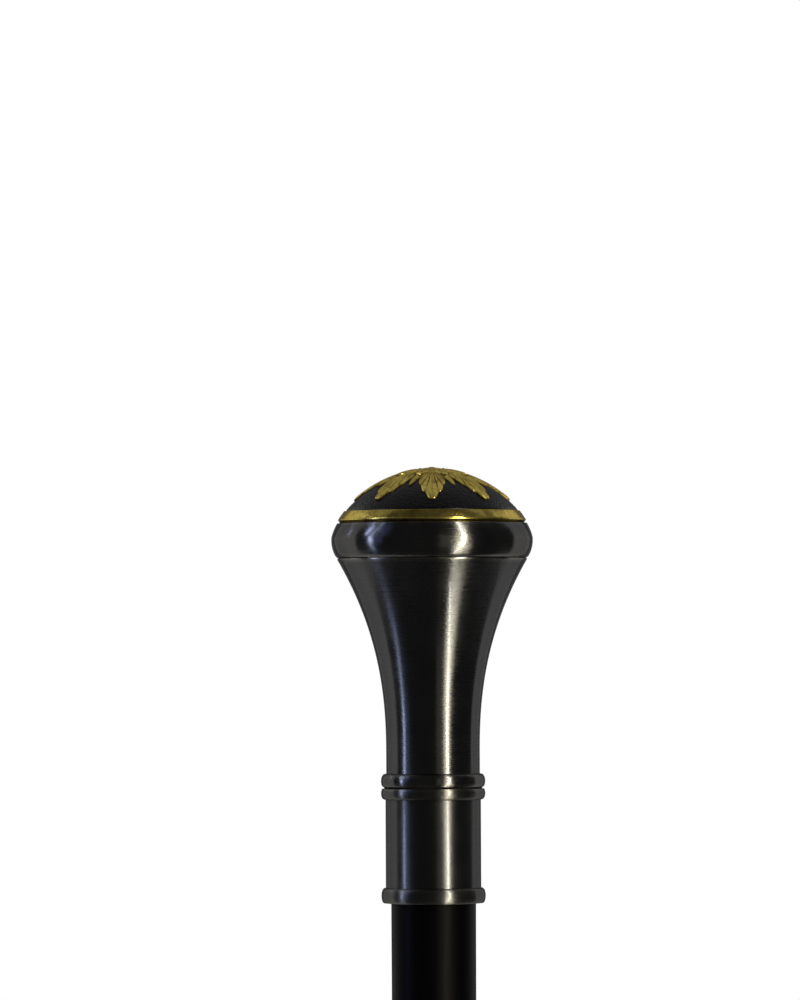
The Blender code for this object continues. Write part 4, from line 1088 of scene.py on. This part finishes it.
def mirrored_card(name, points, columns, level):
    """Card that metal alone mirrors, of an even grey level: a grid of points, row by row."""
    faces = quads(len(points) // columns, columns, False).reshape(-1, columns, 4)[:, :-1].reshape(-1, 4)
    mesh = bpy.data.meshes.new(name)
    mesh.from_pydata(points.tolist(), [], faces.tolist())
    material = bpy.data.materials.new(name)
    material.use_nodes = True
    tree = material.node_tree
    glow = node(tree, "Emission", {"Color": "#ffffff", "Strength": level})
    feed(tree, tree.nodes["Material Output"], {"Surface": glow})
    mesh.materials.append(material)
    card = linked(name, mesh, "camera", "diffuse", "shadow", "transmission")


def lune(name, start, end, level, swell=0.0):
    """Cloth hung round part of the studio, from one azimuth to another, as a lune of a sphere about the
    knob. A swell in degrees bows both edges outwards above and below the middle, which keeps the edge that
    a turned piece mirrors upright."""
    share, elevation = np.meshgrid(np.linspace(0, 1, LUNE_COLUMNS), np.linspace(-90, 90, LUNE_ROWS))
    bow = swell * np.interp(np.abs(elevation), (0, DRAPE_SWELL_ELEVATION, DRAPE_SWELL_END), (0, 1, 0))
    azimuth = np.radians(start - bow + share * (end - start + 2 * bow))
    elevation = np.radians(elevation)
    x = np.cos(elevation) * np.sin(azimuth)
    y = -np.cos(elevation) * np.cos(azimuth)
    points = LUNE_RADIUS * np.stack([x, y, np.sin(elevation)], axis=-1) + (0, 0, KNOB_LEVEL)
    mirrored_card(name, points.reshape(-1, 3), LUNE_COLUMNS, level)


def ceiling():
    """Grey ceiling over the knob and behind it."""
    x, y = np.meshgrid(CEILING_X, CEILING_Y)
    points = np.stack([x, y, np.full(x.shape, KNOB_LEVEL + CEILING_RISE)], axis=-1)
    mirrored_card("grey_ceiling", points.reshape(-1, 3), 2, CEILING_LEVEL)


def pale_floor():
    """Disc of matt white board under the tip that fades out far from it. It shows on its upper side alone,
    and metal doesn't mirror it."""
    values = {"Base_Color": "#f8f8f6", "Roughness": 0.9, "Specular_IOR_Level": 0.0}
    material, tree, shader, place = finish_base("white_board", **values)
    side = node(tree, "NewGeometry", {}).outputs["Backfacing"]
    reach = node(tree, "VectorMath", {0: place}, operation="LENGTH")
    start, end = (share * FLOOR_RADIUS for share in FLOOR_FADE)
    far = node(tree, "MapRange", {0: reach, 1: start, 2: end})
    gone = node(tree, "Math", {0: side, 1: far}, operation="MAXIMUM")
    clear = node(tree, "BsdfTransparent", {})
    board = node(tree, "MixShader", {0: gone, 1: shader, 2: clear})
    feed(tree, tree.nodes["Material Output"], {"Surface": board})
    bm = bmesh.new()
    bmesh.ops.create_circle(bm, cap_ends=True, segments=96, radius=FLOOR_RADIUS)
    mesh = bpy.data.meshes.new("floor")
    bm.to_mesh(mesh)
    bm.free()
    mesh.materials.append(material)
    floor = linked("floor", mesh, "glossy")
    floor.location.z = -FLOOR_DROP


camera()
studio_world()
lune("dark_drape", DRAPE_LEFT, DRAPE_RIGHT, DRAPE_LEVEL, swell=DRAPE_SWELL)
lune("rear_flag", FLAG_EDGE, 360 - FLAG_EDGE, FLAG_LEVEL)
ceiling()
daylight()
softbox("key_core", 35.9, 4, 0.75, 0.05, 1.95, 40.0, "#fffbea", lean=4.0)
softbox("key_glow", 34.0, -3, 1.6, 0.45, 1.65, 4.0, "#fff6d6")
softbox("key_low", 44, -32, 1.5, 0.18, 0.75, 4.2, "#fff5d8")
softbox("key_skirt", 22, -2, 1.65, 0.8, 1.7, 0.4, "#e8e6c8")
softbox("window_glow", -70, 18, 1.55, 0.6, 1.7, 0.8, "#8f9fdc")
softbox("window_strip", -76.5, 18, 1.5, 0.10, 1.7, 5.7, "#c3cdec")
softbox("window_pane", -74.5, 2, 1.45, 0.13, 0.55, 9.0, "#c6d2ff")
softbox("window_upper", -86, 32, 1.45, 0.10, 0.45, 15.0, "#c6d2ff")
softbox("window_lower", -76, -22, 1.45, 0.13, 0.4, 3.0, "#c6d2ff")
softbox("window_far", -116, 21, 1.5, 0.08, 0.28, 5.0, "#c6d2ff")
pale_floor()
bpy.context.scene.view_settings.view_transform = "Standard"

fine_nickel = black_nickel("fine_brushed_black_nickel", 0.22, 0.33)
coarse_nickel = black_nickel("coarse_brushed_black_nickel", 0.31, 0.43)
bright_nickel = black_nickel("bright_brushed_black_nickel", 0.17, 0.26)
gold = gilding("antiqued_gilding", "#dbc76b", "#bdaa56", 0.32, 0.5)
steel = zinc_plate()
brass = bare_brass()

rubber_tip(moulded_rubber())
ferrule(coarse_nickel)
brad(coarse_nickel)
shaft(black_lacquer())
collar(coarse_nickel)
stud(steel)
stud_washer(steel)
stud_nut(steel)
fibre_ring(vulcanised_fibre())
grip(fine_nickel)
insert(brass)
crown(bright_nickel)
rim(gilding("polished_gilding", "#bfac5b", "#a4944a", 0.15, 0.32))
ground_plate(black_patina())
leaf_ornament(gold)
boss(gold)

for name, finish in {
    "sole_disc": steel,
    "medallion_post": brass,
    "medallion_washer": steel,
    "medallion_nut": brass,
}.items():
    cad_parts[name].data.materials.clear()
    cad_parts[name].data.materials.append(finish)
